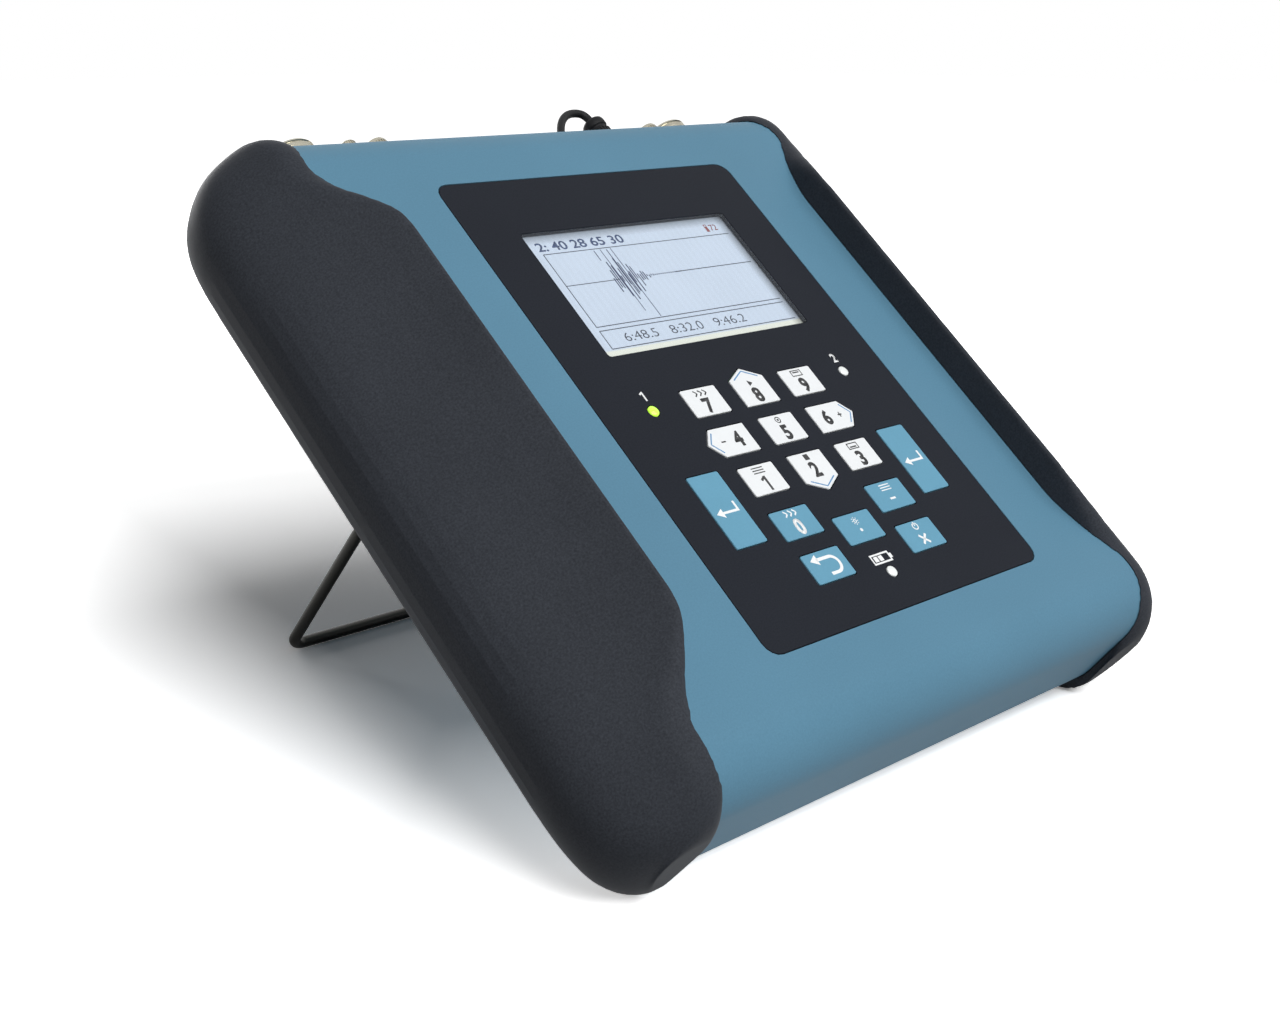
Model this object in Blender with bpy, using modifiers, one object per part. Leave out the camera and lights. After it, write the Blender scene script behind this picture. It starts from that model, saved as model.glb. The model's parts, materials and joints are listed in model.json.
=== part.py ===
"""Portable clamp-on flow meter: folded metal sleeve, soft side caps, foil keypad, wire bail.

Everything is modelled lying flat, face up, in the frame of one empty: X to the right,
Y up the face, Z out of the face, with the face of the sleeve at Z = 0. The empty then
leans the whole unit back until it stands on its side caps and on the foot of its bail.
"""
import math

import bmesh
import bpy
from mathutils import Vector

for old in list(bpy.data.objects):
    bpy.data.objects.remove(old, do_unlink=True)

# Clearance between pieces that touch
GAP = 0.0003

# Folded metal sleeve
SLEEVE_WIDTH = 0.180
SLEEVE_HEIGHT = 0.205
SLEEVE_DEPTH = 0.047
SLEEVE_CORNER = 0.0150
SHEET = 0.0015

# Soft side caps, measured from the sleeve that they wrap
CAP_REACH = 0.0228
CAP_TOP_LIP = 0.0037
CAP_LIP = 0.0023
CAP_BACK_LIP = 0.0015
GRIP_LAP = 0.0104
END_LAP = 0.0035
BACK_LAP = 0.0005
GRIP_CREST = 0.0092
END_CREST = 0.0023
GRIP_EDGE = 0.0014
END_EDGE = 0.0084
GRIP_LENGTH = 0.1153
GRIP_FADE = 0.0280
SHOULDER_SLOPE = 0.95
WIDEST_DEPTH = 0.0223
FRONT_NOSE = 0.0175
BACK_NOSE = 0.0130
NOSE_TAPER = 0.0195
NOSE_LENGTH = 0.0270
CAP_WALL = 0.011

# Foil panel in the face
PANEL_WIDTH = 0.112
PANEL_HEIGHT = 0.153
PANEL_CORNER = 0.0040
CARRIER_LAP = 0.005
CARRIER_THICK = 0.0025
CARRIER_RIM = 0.004

# Display
WINDOW_WIDTH = 0.0787
WINDOW_HEIGHT = 0.043
WINDOW_TOP = 0.0193
WINDOW_CORNER = 0.0006
LCD_MARGIN = 0.003
LCD_THICK = 0.007

# Keypad
KEY_PITCH_X = 0.01935
KEY_PITCH_Y = 0.0131
KEY_TOP_ROW = -0.005
KEY_WIDTH = 0.0131
KEY_HEIGHT = 0.0089
KEY_POINT = 0.0034
BLUE_WIDTH = 0.0145
BLUE_HEIGHT = 0.0088
BLUE_DROP = 0.0143
BLUE_PITCH = 0.0136
ENTER_X = 0.0381
ENTER_Y = -0.0368
ENTER_WIDTH = 0.0113
ENTER_HEIGHT = 0.0223
KEY_CORNER = 0.0005
KEY_THICK = 0.0011
KEY_PROUD = 0.0002
KEY_TRAVEL = 0.0005
BOARD_THICK = 0.0016

# Indicator lamps
LAMP_RADIUS = 0.0016
LAMP_PROUD = 0.0004
LAMP_X = 0.0382
LAMP_Y = -0.0046
BATTERY_LAMP_Y = -0.0661

# Inner frame, board and cells
FRAME_THICK = 0.0015
FRAME_WIDTH = 0.140
MAIN_BOARD_WIDTH = 0.124
MAIN_BOARD_HEIGHT = 0.150
CELL_WIDTH = 0.076
CELL_HEIGHT = 0.070
CELL_THICK = 0.020
CELL_Y = -0.045

# Sockets in the top edge
CHANNEL_LEFT_X = -0.0710
CHANNEL_RIGHT_X = 0.0745
CHANNEL_RADIUS = 0.0080
CHANNEL_TALL = 0.0100
CHANNEL_BORE = 0.0064
INSERT_THICK = 0.0008
SMALL_FORWARD = 0.006
POST_X = -0.0555
POST_TALL = 0.0082
OUTPUT_LEFT_X = -0.0465
OUTPUT_RIGHT_X = 0.0603
OUTPUT_RADIUS = 0.0037
OUTPUT_TALL = 0.0071
OUTPUT_BORE = 0.0026
OUTPUT_DEEP = 0.0012
PORT_X = 0.0435
PORT_FORWARD = 0.0035
PORT_RADIUS = 0.0022
PORT_TALL = 0.0104
STUB_LENGTH = 0.004
FLANGE = 0.0016

# Dust cap and its moulded strap
DUST_WALL = 0.0012
DUST_TOP = 0.0034
STRAP_RADIUS = 0.00125
ANCHOR_X = 0.0250
ANCHOR_RADIUS = 0.0030
ANCHOR_TALL = 0.0014
STRAP_TALL = 0.0188

# Wire bail and its two clips
WIRE_RADIUS = 0.0018
BAIL_WIDTH = 0.0985
BAIL_REACH = 0.1168
BAIL_Y = 0.0452
BAIL_BEND = 0.004
FOOT_BEND = 0.005
PIVOT_DROP = 0.0034
PIN_LENGTH = 0.009
CLIP_WALL = 0.0012
CLIP_FLANGE = 0.0055
STOP_TALL = 0.0090

# Values that follow from the sizes above
HALF_W = SLEEVE_WIDTH / 2
HALF_H = SLEEVE_HEIGHT / 2
CAP_HALF_W = HALF_W + CAP_REACH
CAP_TOP = HALF_H + CAP_TOP_LIP
CAP_FOOT = HALF_H + CAP_LIP
CAP_BACK = SLEEVE_DEPTH + CAP_BACK_LIP
WINDOW_Y = PANEL_HEIGHT / 2 - WINDOW_TOP - WINDOW_HEIGHT / 2
SOCKET_Z = -SLEEVE_DEPTH / 2
PIVOT_Z = -SLEEVE_DEPTH - PIVOT_DROP
CARRIER_Z = -SHEET - GAP
FRAME_Z = SOCKET_Z + max(CHANNEL_RADIUS, SMALL_FORWARD + OUTPUT_RADIUS) + GAP + FRAME_THICK


def lean_angle():
    """Angle at which the line under both the back noses and the bail's foot lies level."""
    nose = Vector((-(CAP_FOOT - BACK_NOSE), -(CAP_BACK - BACK_NOSE)))
    foot = Vector((BAIL_Y, PIVOT_Z - BAIL_REACH))
    run = foot - nose
    return -math.atan2(run.y, run.x) - math.asin((BACK_NOSE - WIRE_RADIUS) / run.length)


def collection(name):
    made = bpy.data.collections.new(name)
    bpy.context.scene.collection.children.link(made)
    return made


PARTS = collection("portable_flow_meter")
HELPERS = collection("cutters")

UNIT = bpy.data.objects.new("unit", None)
UNIT.rotation_euler = (lean_angle(), 0, 0)
UNIT.hide_render = True
HELPERS.objects.link(UNIT)


def linear(rgb):
    return [(c / 255 / 12.92) if c < 11 else ((c / 255 + 0.055) / 1.055) ** 2.4 for c in rgb]


def paint(obj, rgb, rough, metal=0.0, alpha=1.0):
    mat = bpy.data.materials.new(obj.name)
    mat.use_nodes = True
    shader = mat.node_tree.nodes["Principled BSDF"]
    shader.inputs["Base Color"].default_value = linear(rgb) + [1.0]
    shader.inputs["Roughness"].default_value = rough
    shader.inputs["Metallic"].default_value = metal
    shader.inputs["Alpha"].default_value = alpha
    obj.data.materials.append(mat)
    return obj


def place(obj, at=(0, 0, 0), helper=False):
    (HELPERS if helper else PARTS).objects.link(obj)
    obj.parent = UNIT
    obj.location = at
    if helper:
        obj.hide_render = True
        obj.display_type = "WIRE"
    return obj


def from_bmesh(name, bm, at=(0, 0, 0), helper=False):
    bmesh.ops.remove_doubles(bm, verts=bm.verts, dist=1e-7)
    bmesh.ops.recalc_face_normals(bm, faces=bm.faces)
    data = bpy.data.meshes.new(name)
    bm.to_mesh(data)
    bm.free()
    return place(bpy.data.objects.new(name, data), at, helper)


def arc(cx, cy, radius, start, end, steps):
    turn = [math.radians(start + (end - start) * i / steps) for i in range(steps + 1)]
    return [(cx + radius * math.cos(t), cy + radius * math.sin(t)) for t in turn]


def rounded(width, height, radius, steps=4, cx=0.0, cy=0.0):
    w = width / 2 - radius
    h = height / 2 - radius
    loop = arc(cx + w, cy + h, radius, 0, 90, steps) + arc(cx - w, cy + h, radius, 90, 180, steps)
    return loop + arc(cx - w, cy - h, radius, 180, 270, steps) + arc(cx + w, cy - h, radius, 270, 360, steps)


def circle(radius, steps, cx=0.0, cy=0.0):
    return arc(cx, cy, radius, 0, 360, steps)[:-1]


def slab(name, loops, low, high, at=(0, 0, 0), axis="z", helper=False):
    """A flat outline with holes, filled and extruded from low to high along an axis."""
    turn = {"z": lambda a, b, c: (a, b, c), "x": lambda a, b, c: (c, a, b), "y": lambda a, b, c: (b, c, a)}[axis]
    bm = bmesh.new()
    for loop in loops:
        ring = [bm.verts.new(turn(a, b, low)) for a, b in loop]
        for i, vert in enumerate(ring):
            bm.edges.new((ring[i - 1], vert))
    filled = bmesh.ops.triangle_fill(bm, use_beauty=True, edges=bm.edges[:])
    faces = [g for g in filled["geom"] if isinstance(g, bmesh.types.BMFace)]
    lifted = bmesh.ops.extrude_face_region(bm, geom=faces, use_keep_orig=True)
    verts = [g for g in lifted["geom"] if isinstance(g, bmesh.types.BMVert)]
    bmesh.ops.translate(bm, verts=verts, vec=turn(0, 0, high - low))
    return from_bmesh(name, bm, at, helper)


def turned(name, profile, at, steps=20, helper=False):
    """A profile of radius and height, both ends on the axis, spun about +Y."""
    bm = bmesh.new()
    verts = [bm.verts.new((r, h, 0)) for r, h in profile]
    edges = [bm.edges.new((verts[i], verts[i + 1])) for i in range(len(verts) - 1)]
    bmesh.ops.spin(bm, geom=verts + edges, cent=(0, 0, 0), axis=(0, 1, 0), angle=math.tau, steps=steps,
                   use_merge=True, use_normal_flip=False)
    return from_bmesh(name, bm, at, helper)


def cut(obj, cutter, kind="DIFFERENCE"):
    mod = obj.modifiers.new(cutter.name, "BOOLEAN")
    mod.operation = kind
    mod.solver = "EXACT"
    mod.object = cutter
    return obj


def soften(obj, width, segments=1):
    mod = obj.modifiers.new("edge", "BEVEL")
    mod.width = width
    mod.segments = segments
    mod.limit_method = "ANGLE"
    mod.angle_limit = math.radians(50)
    return obj


def wire(name, points, radius, at=(0, 0, 0), resolution=1):
    data = bpy.data.curves.new(name, "CURVE")
    data.dimensions = "3D"
    data.bevel_depth = radius
    data.bevel_resolution = resolution
    data.use_fill_caps = True
    line = data.splines.new("POLY")
    line.points.add(len(points) - 1)
    for spot, xyz in zip(line.points, points):
        spot.co = (*xyz, 1)
    return place(bpy.data.objects.new(name, data), at)


# The sleeve: a folded tube along X, open at both ends
def sleeve_loop(grow, steps=9):
    return rounded(SLEEVE_HEIGHT + 2 * grow, SLEEVE_DEPTH + 2 * grow, SLEEVE_CORNER + grow, steps,
                   0, -SLEEVE_DEPTH / 2)


sleeve = slab("sleeve", [sleeve_loop(0), sleeve_loop(-SHEET)], -HALF_W, HALF_W, axis="x")
paint(sleeve, (104, 150, 176), 0.34, 0.35)
opening = rounded(PANEL_WIDTH + 2 * GAP, PANEL_HEIGHT + 2 * GAP, PANEL_CORNER + GAP)
cut(sleeve, slab("panel_opening", [opening], -SHEET - 0.002, 0.002, helper=True))


# The side caps: lofted grips that wrap the sleeve's ends
def ease(t):
    t = min(max(t, 0.0), 1.0)
    return t * t * (3 - 2 * t)


def bezier(a, b, c, d, steps):
    found = []
    for i in range(1, steps + 1):
        t = i / steps
        s = 1 - t
        weights = (s ** 3, 3 * s * s * t, 3 * s * t * t, t ** 3)
        found.append(sum((w * Vector(p) for w, p in zip(weights, (a, b, c, d))), Vector((0, 0))))
    return found


def cap_end(y):
    return CAP_TOP if y > 0 else CAP_FOOT


def nose_drop(y, radius):
    into = max(0.0, abs(y) - (cap_end(y) - radius))
    return radius - math.sqrt(max(0.0, radius * radius - into * into))


def cap_section(y):
    """Cross section of a grip at one height: crest, sloping shoulder, widest point, back."""
    fade = ease((abs(y) - GRIP_LENGTH / 2) / GRIP_FADE)
    inner = HALF_W - GRIP_LAP + (GRIP_LAP - END_LAP) * fade
    edge = GRIP_EDGE + (END_EDGE - GRIP_EDGE) * fade
    top = GRIP_CREST + (END_CREST - GRIP_CREST) * fade - nose_drop(y, FRONT_NOSE)
    low = -CAP_BACK + nose_drop(y, BACK_NOSE)
    into = max(0.0, abs(y) - (cap_end(y) - NOSE_LENGTH)) / NOSE_LENGTH
    taper = NOSE_TAPER * (1 - max(0.0, 1 - into ** 2.2) ** (1 / 2.2))
    outer = max(CAP_HALF_W - taper, inner + edge + 0.004)
    wide = min(max(-WIDEST_DEPTH, low + 0.003), top - 0.003)
    back = min(HALF_W - BACK_LAP, outer - 0.004)
    rise = top - wide
    run = outer - inner - edge
    crest = (inner + edge, top - 0.25 * edge)
    slope = (crest[0] + 0.55 * run, crest[1] - min(0.55 * run * SHOULDER_SLOPE, 0.55 * rise))
    points = [Vector((inner, min(top - edge - 0.0005, -SHEET))), Vector((inner, top - edge))]
    points += bezier(points[1], (inner, top - 0.4 * edge), (inner + 0.3 * edge, top), crest, 4)
    points += bezier(crest, slope, (outer, wide + (0.37 if rise > 0.012 else 0.45) * rise), (outer, wide), 9)
    drop = wide - low
    points += bezier((outer, wide), (outer, wide - 0.5 * drop), (back + 0.55 * (outer - back), low), (back, low), 8)
    return points


def cap_stations():
    """Heights of the sections, closer together where the grip fades and where the noses round."""
    grip = [0.0, 0.4 * GRIP_LENGTH, GRIP_LENGTH / 2]
    grip += [GRIP_LENGTH / 2 + GRIP_FADE * t for t in (0.08, 0.18, 0.28, 0.4, 0.5, 0.6, 0.72, 0.82, 0.92, 1.0)]
    turns = (0, 10, 20, 30, 39, 48, 56, 63, 69, 75, 80, 84, 87)
    found = set()
    for side, end in ((1, CAP_TOP), (-1, CAP_FOOT)):
        nose = [end - FRONT_NOSE + FRONT_NOSE * math.sin(math.radians(a)) for a in turns]
        found |= {side * round(y, 6) for y in grip + nose}
    return sorted(found)


def side_cap(name, side):
    bm = bmesh.new()
    rings = []
    for y in cap_stations():
        rings.append([bm.verts.new((side * p.x, y, p.y)) for p in cap_section(y)])
    for one, two in zip(rings, rings[1:]):
        for i in range(len(one)):
            bm.faces.new((one[i - 1], one[i], two[i], two[i - 1]))
    bm.faces.new(rings[0])
    bm.faces.new(rings[-1])
    cap = from_bmesh(name, bm)
    for face in cap.data.polygons:
        face.use_smooth = True
    slot_end = HALF_W + GAP
    slot = slab(name + "_slot", [sleeve_loop(GAP)], -slot_end if side < 0 else HALF_W - 0.030,
                -HALF_W + 0.030 if side < 0 else slot_end, axis="x", helper=True)
    room = rounded(SLEEVE_HEIGHT - 2 * CAP_WALL, SLEEVE_DEPTH - 2 * CAP_WALL, 0.004, 3, 0, -SLEEVE_DEPTH / 2)
    deep = HALF_W + CAP_REACH - CAP_WALL
    hollow = slab(name + "_hollow", [room], -deep if side < 0 else HALF_W - 0.002,
                  -HALF_W + 0.002 if side < 0 else deep, axis="x", helper=True)
    cut(cap, slot)
    cut(cap, hollow)
    return paint(cap, (40, 42, 48), 0.62)


side_cap("side_cap_left", -1)
side_cap("side_cap_right", 1)


# Keys: outline and place of each, on the face
def key_spot(column, row):
    return (column * KEY_PITCH_X, KEY_TOP_ROW - row * KEY_PITCH_Y)


def blue_spot(column, row):
    return (column * KEY_PITCH_X, KEY_TOP_ROW - 2 * KEY_PITCH_Y - BLUE_DROP - row * BLUE_PITCH)


def pointed(width, height, point, toward):
    """A key outline whose one side runs out to a point."""
    w, h = width / 2, height / 2
    if toward == "up":
        return [(-w, -h), (w, -h), (w, h), (0, h + point), (-w, h)]
    if toward == "down":
        return [(-w, -h), (0, -h - point), (w, -h), (w, h), (-w, h)]
    if toward == "left":
        return [(-w, -h), (w, -h), (w, h), (-w, h), (-w - point, 0)]
    return [(-w, -h), (w, -h), (w + point, 0), (w, h), (-w, h)]


def grown(loop, by):
    """The same outline with every side moved out by one clearance."""
    out = []
    for i, point in enumerate(loop):
        before = (Vector(point) - Vector(loop[i - 1])).normalized()
        after = (Vector(loop[(i + 1) % len(loop)]) - Vector(point)).normalized()
        left = Vector((before.y, -before.x))
        right = Vector((after.y, -after.x))
        out.append(Vector(point) + (left + right) * by / (1 + left.dot(right)))
    return [(p.x, p.y) for p in out]


WHITE = (236, 238, 240)
BLUE = (92, 144, 172)
square = rounded(KEY_WIDTH, KEY_HEIGHT, KEY_CORNER, 2)
oblong = rounded(BLUE_WIDTH, BLUE_HEIGHT, KEY_CORNER, 2)
tall = rounded(ENTER_WIDTH, ENTER_HEIGHT, KEY_CORNER, 2)
KEYS = [
    ("key_7", key_spot(-1, 0), square, WHITE),
    ("key_8", key_spot(0, 0), pointed(KEY_WIDTH, KEY_HEIGHT, KEY_POINT, "up"), WHITE),
    ("key_9", key_spot(1, 0), square, WHITE),
    ("key_4", key_spot(-1, 1), pointed(KEY_WIDTH, KEY_HEIGHT, KEY_POINT, "left"), WHITE),
    ("key_5", key_spot(0, 1), square, WHITE),
    ("key_6", key_spot(1, 1), pointed(KEY_WIDTH, KEY_HEIGHT, KEY_POINT, "right"), WHITE),
    ("key_1", key_spot(-1, 2), square, WHITE),
    ("key_2", key_spot(0, 2), pointed(KEY_WIDTH, KEY_HEIGHT, KEY_POINT, "down"), WHITE),
    ("key_3", key_spot(1, 2), square, WHITE),
    ("key_0", blue_spot(-1, 0), oblong, BLUE),
    ("key_minus", blue_spot(1, 0), oblong, BLUE),
    ("key_point", blue_spot(0, 0.46), oblong, BLUE),
    ("key_back", blue_spot(-1, 1), oblong, BLUE),
    ("key_clear", blue_spot(1, 1), oblong, BLUE),
    ("key_enter_left", (-ENTER_X, ENTER_Y), tall, BLUE),
    ("key_enter_right", (ENTER_X, ENTER_Y), tall, BLUE),
]
LAMPS = [
    ("lamp_channel_a", (-LAMP_X, LAMP_Y), (176, 226, 60)),
    ("lamp_channel_b", (LAMP_X, LAMP_Y), (232, 234, 234)),
    ("lamp_battery", (0.0, BATTERY_LAMP_Y), (232, 234, 234)),
]


def shifted(loop, spot):
    return [(x + spot[0], y + spot[1]) for x, y in loop]


# Foil panel with its key, lamp and window openings
holes = [shifted(grown(loop, GAP), spot) for _, spot, loop, _ in KEYS]
holes += [circle(LAMP_RADIUS + GAP, 14, *spot) for _, spot, _ in LAMPS]
holes += [rounded(WINDOW_WIDTH + 2 * GAP, WINDOW_HEIGHT + 2 * GAP, WINDOW_CORNER + GAP, 2, 0, WINDOW_Y)]
panel = slab("foil_panel", [rounded(PANEL_WIDTH, PANEL_HEIGHT, PANEL_CORNER)] + holes, -SHEET, 0)
paint(panel, (38, 41, 48), 0.5)

for name, spot, loop, colour in KEYS:
    key = slab(name, [loop], -KEY_THICK, 0, (*spot, KEY_PROUD))
    paint(soften(key, 0.00015), colour, 0.45)

window = slab("display_window", [rounded(WINDOW_WIDTH, WINDOW_HEIGHT, WINDOW_CORNER, 2)], -SHEET, 0,
              (0, WINDOW_Y, 0))
paint(window, (205, 216, 230), 0.12, 0.0, 0.35)

# Carrier frame behind the face, with the display and the key board in it
carrier_outer = rounded(PANEL_WIDTH + 2 * CARRIER_LAP, PANEL_HEIGHT + 2 * CARRIER_LAP, PANEL_CORNER)
carrier_w = PANEL_WIDTH - 2 * CARRIER_RIM
carrier_h = PANEL_HEIGHT - 2 * CARRIER_RIM
carrier = slab("panel_carrier", [carrier_outer, rounded(carrier_w, carrier_h, PANEL_CORNER)],
               CARRIER_Z - CARRIER_THICK, CARRIER_Z)
paint(carrier, (30, 31, 34), 0.6)
lcd = slab("lcd_module", [rounded(WINDOW_WIDTH + 2 * LCD_MARGIN, WINDOW_HEIGHT + 2 * LCD_MARGIN, 0.001, 2)],
           CARRIER_Z - LCD_THICK, CARRIER_Z, (0, WINDOW_Y, 0))
paint(lcd, (206, 216, 228), 0.3)
board_top = WINDOW_Y - WINDOW_HEIGHT / 2 - LCD_MARGIN - 2 * GAP
board_low = -carrier_h / 2 + GAP
board_loop = rounded(carrier_w - 2 * GAP, board_top - board_low, PANEL_CORNER, 4, 0, (board_top + board_low) / 2)
board = slab("key_board", [board_loop], CARRIER_Z - BOARD_THICK, CARRIER_Z)
paint(board, (34, 84, 58), 0.5)

for name, spot, colour in LAMPS:
    tip = LAMP_PROUD
    profile = [(0, CARRIER_Z + GAP), (LAMP_RADIUS, CARRIER_Z + GAP), (LAMP_RADIUS, 0)]
    profile += [(LAMP_RADIUS * math.cos(math.radians(a)), tip * math.sin(math.radians(a))) for a in (30, 60)]
    lamp = turned(name, profile + [(0, tip)], (*spot, 0), 14)
    lamp.rotation_euler = (math.pi / 2, 0, 0)
    paint(lamp, colour, 0.3)

# Inner frame across the sleeve, with the main board before it and the cells behind it
def inside_half(z):
    """Half the clear height inside the sleeve at one depth, less where its corner bends in."""
    clear = SLEEVE_CORNER - SHEET - GAP
    into = max(0.0, z + SLEEVE_CORNER)
    return HALF_H - SLEEVE_CORNER + math.sqrt(clear * clear - into * into)


frame_high = 2 * inside_half(FRAME_Z)
frame = slab("inner_frame", [rounded(FRAME_WIDTH, frame_high, 0.003, 2)], FRAME_Z - FRAME_THICK, FRAME_Z)
paint(frame, (150, 153, 156), 0.4, 0.8)
mainboard = slab("main_board", [rounded(MAIN_BOARD_WIDTH, MAIN_BOARD_HEIGHT, 0.002, 2)],
                 FRAME_Z + GAP, FRAME_Z + GAP + BOARD_THICK)
paint(mainboard, (34, 84, 58), 0.5)
cells_low = FRAME_Z - FRAME_THICK - GAP
cells = slab("battery_pack", [rounded(CELL_WIDTH, CELL_HEIGHT, 0.006, 3)], cells_low - CELL_THICK, cells_low,
             (0, CELL_Y, 0))
paint(soften(cells, 0.002, 2), (58, 62, 70), 0.6)

# Sockets standing in the top edge; each stem passes a hole in the sleeve
TOP = HALF_H
METAL = (196, 190, 172)


def socket_profile(radius, tall_, bore, stem, deep):
    flange = radius + 0.0008
    shy = radius - 0.0006
    low = GAP + FLANGE
    floor = tall_ - deep
    return [(0, -STUB_LENGTH), (stem, -STUB_LENGTH), (stem, GAP), (flange, GAP), (flange, low), (shy, low),
            (shy, low + 0.0012), (radius, low + 0.0016), (radius, tall_ - 0.0006), (radius - 0.0006, tall_),
            (bore, tall_), (bore, floor), (0, floor)]


def socket(name, x, profile, stem, rgb, metal, rough, steps=20, forward=0.0):
    z = SOCKET_Z + forward
    made = turned(name, profile, (x, TOP, z), steps)
    hole = slab(name + "_hole", [circle(stem + GAP, 24, z, x)], HALF_H - SHEET - 0.002, HALF_H + 0.002,
                axis="y", helper=True)
    cut(sleeve, hole)
    return paint(made, rgb, rough, metal)


channel_stem = CHANNEL_RADIUS - 0.0016
seat = GAP + FLANGE
channel = socket_profile(CHANNEL_RADIUS, CHANNEL_TALL, CHANNEL_BORE, channel_stem, CHANNEL_TALL - seat)
for name, x in (("channel_socket_a", CHANNEL_LEFT_X), ("channel_socket_b", CHANNEL_RIGHT_X)):
    socket(name, x, channel, channel_stem, METAL, 0.9, 0.28, 24)
    core = [(0, seat + GAP), (CHANNEL_BORE - GAP, seat + GAP), (CHANNEL_BORE - GAP, seat + GAP + INSERT_THICK),
            (0, seat + GAP + INSERT_THICK)]
    insert = turned(name.replace("socket", "insert"), core, (x, TOP, SOCKET_Z), 20)
    paint(insert, (34, 35, 38), 0.5)

output_stem = OUTPUT_RADIUS - 0.0012
output = socket_profile(OUTPUT_RADIUS, OUTPUT_TALL, OUTPUT_BORE, output_stem, OUTPUT_DEEP)
socket("output_socket_left", OUTPUT_LEFT_X, output, output_stem, METAL, 0.9, 0.28, 16, SMALL_FORWARD)
socket("output_socket_right", OUTPUT_RIGHT_X, output, output_stem, METAL, 0.9, 0.28, 16, SMALL_FORWARD)

post = [(0, -STUB_LENGTH), (0.0016, -STUB_LENGTH), (0.0016, GAP), (0.0034, GAP), (0.0034, GAP + FLANGE),
        (0.0015, GAP + FLANGE), (0.0015, POST_TALL - 0.0050), (0.0026, POST_TALL - 0.0044),
        (0.0026, POST_TALL - 0.0008), (0.0018, POST_TALL), (0, POST_TALL)]
socket("earth_post", POST_X, post, 0.0016, METAL, 0.9, 0.25, 16, SMALL_FORWARD)

port_stem = PORT_RADIUS - 0.0006
port_foot = PORT_RADIUS + DUST_WALL + GAP
port = [(0, -STUB_LENGTH), (port_stem, -STUB_LENGTH), (port_stem, GAP), (port_foot, GAP), (port_foot, GAP + FLANGE),
        (PORT_RADIUS, GAP + FLANGE), (PORT_RADIUS, PORT_TALL - 0.0005), (PORT_RADIUS - 0.0005, PORT_TALL),
        (0.6 * PORT_RADIUS, PORT_TALL), (0.6 * PORT_RADIUS, PORT_TALL - 0.001), (0, PORT_TALL - 0.001)]
socket("service_port", PORT_X, port, port_stem, (60, 62, 66), 0.5, 0.4, 16, PORT_FORWARD)

# Dust cap over the service port, and the strap that keeps it
cap_low = 2 * GAP + FLANGE
cap_high = PORT_TALL + GAP + DUST_TOP
cap_in = PORT_RADIUS + GAP
cap_out = cap_in + DUST_WALL
dust = [(0, PORT_TALL + GAP), (cap_in, PORT_TALL + GAP), (cap_in, cap_low), (cap_out, cap_low),
        (cap_out, cap_high - 0.0046), (cap_out - 0.0007, cap_high - 0.0042), (cap_out - 0.0007, cap_high - 0.0034),
        (cap_out, cap_high - 0.0030), (cap_out, cap_high - 0.0010), (cap_out - 0.0010, cap_high), (0, cap_high)]
paint(turned("dust_cap", dust, (PORT_X, TOP, SOCKET_Z + PORT_FORWARD), 20), (24, 25, 27), 0.5)

anchor = [(0, -STUB_LENGTH), (0.0014, -STUB_LENGTH), (0.0014, GAP), (ANCHOR_RADIUS, GAP),
          (ANCHOR_RADIUS, GAP + ANCHOR_TALL * 0.7), (ANCHOR_RADIUS - 0.0005, GAP + ANCHOR_TALL), (0, GAP + ANCHOR_TALL)]
socket("strap_anchor", ANCHOR_X, anchor, 0.0014, (40, 41, 44), 0.2, 0.5, 14, PORT_FORWARD)

strap_low = (ANCHOR_X, 2 * GAP + ANCHOR_TALL)
strap_end = (PORT_X, cap_high + GAP)
crown = (ANCHOR_X + 0.76 * (PORT_X - ANCHOR_X), STRAP_TALL)
route = [Vector(strap_low)]
route += bezier(strap_low, (ANCHOR_X, 0.46 * STRAP_TALL), ((ANCHOR_X + crown[0]) / 2, STRAP_TALL), crown, 12)
route += bezier(crown, (crown[0] + 0.003, STRAP_TALL), (PORT_X, STRAP_TALL - 0.0008), strap_end, 7)
strap = wire("dust_cap_strap", [(p.x, p.y, 0) for p in route], STRAP_RADIUS, (0, TOP, SOCKET_Z + PORT_FORWARD))
paint(strap, (22, 23, 25), 0.45)


# Wire bail, its origin on the pivot line
def bail_route():
    half = BAIL_WIDTH / 2
    side = [(half - PIN_LENGTH, 0)]
    side += arc(half - BAIL_BEND, -BAIL_BEND, BAIL_BEND, 90, 0, 5)
    side += arc(half - FOOT_BEND, -BAIL_REACH + FOOT_BEND, FOOT_BEND, 0, -90, 6)
    return [(x, 0, z) for x, z in side] + [(-x, 0, z) for x, z in reversed(side)]


bail = wire("bail", bail_route(), WIRE_RADIUS, (0, BAIL_Y, PIVOT_Z), 2)
paint(bail, (44, 43, 38), 0.4, 0.5)


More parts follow.
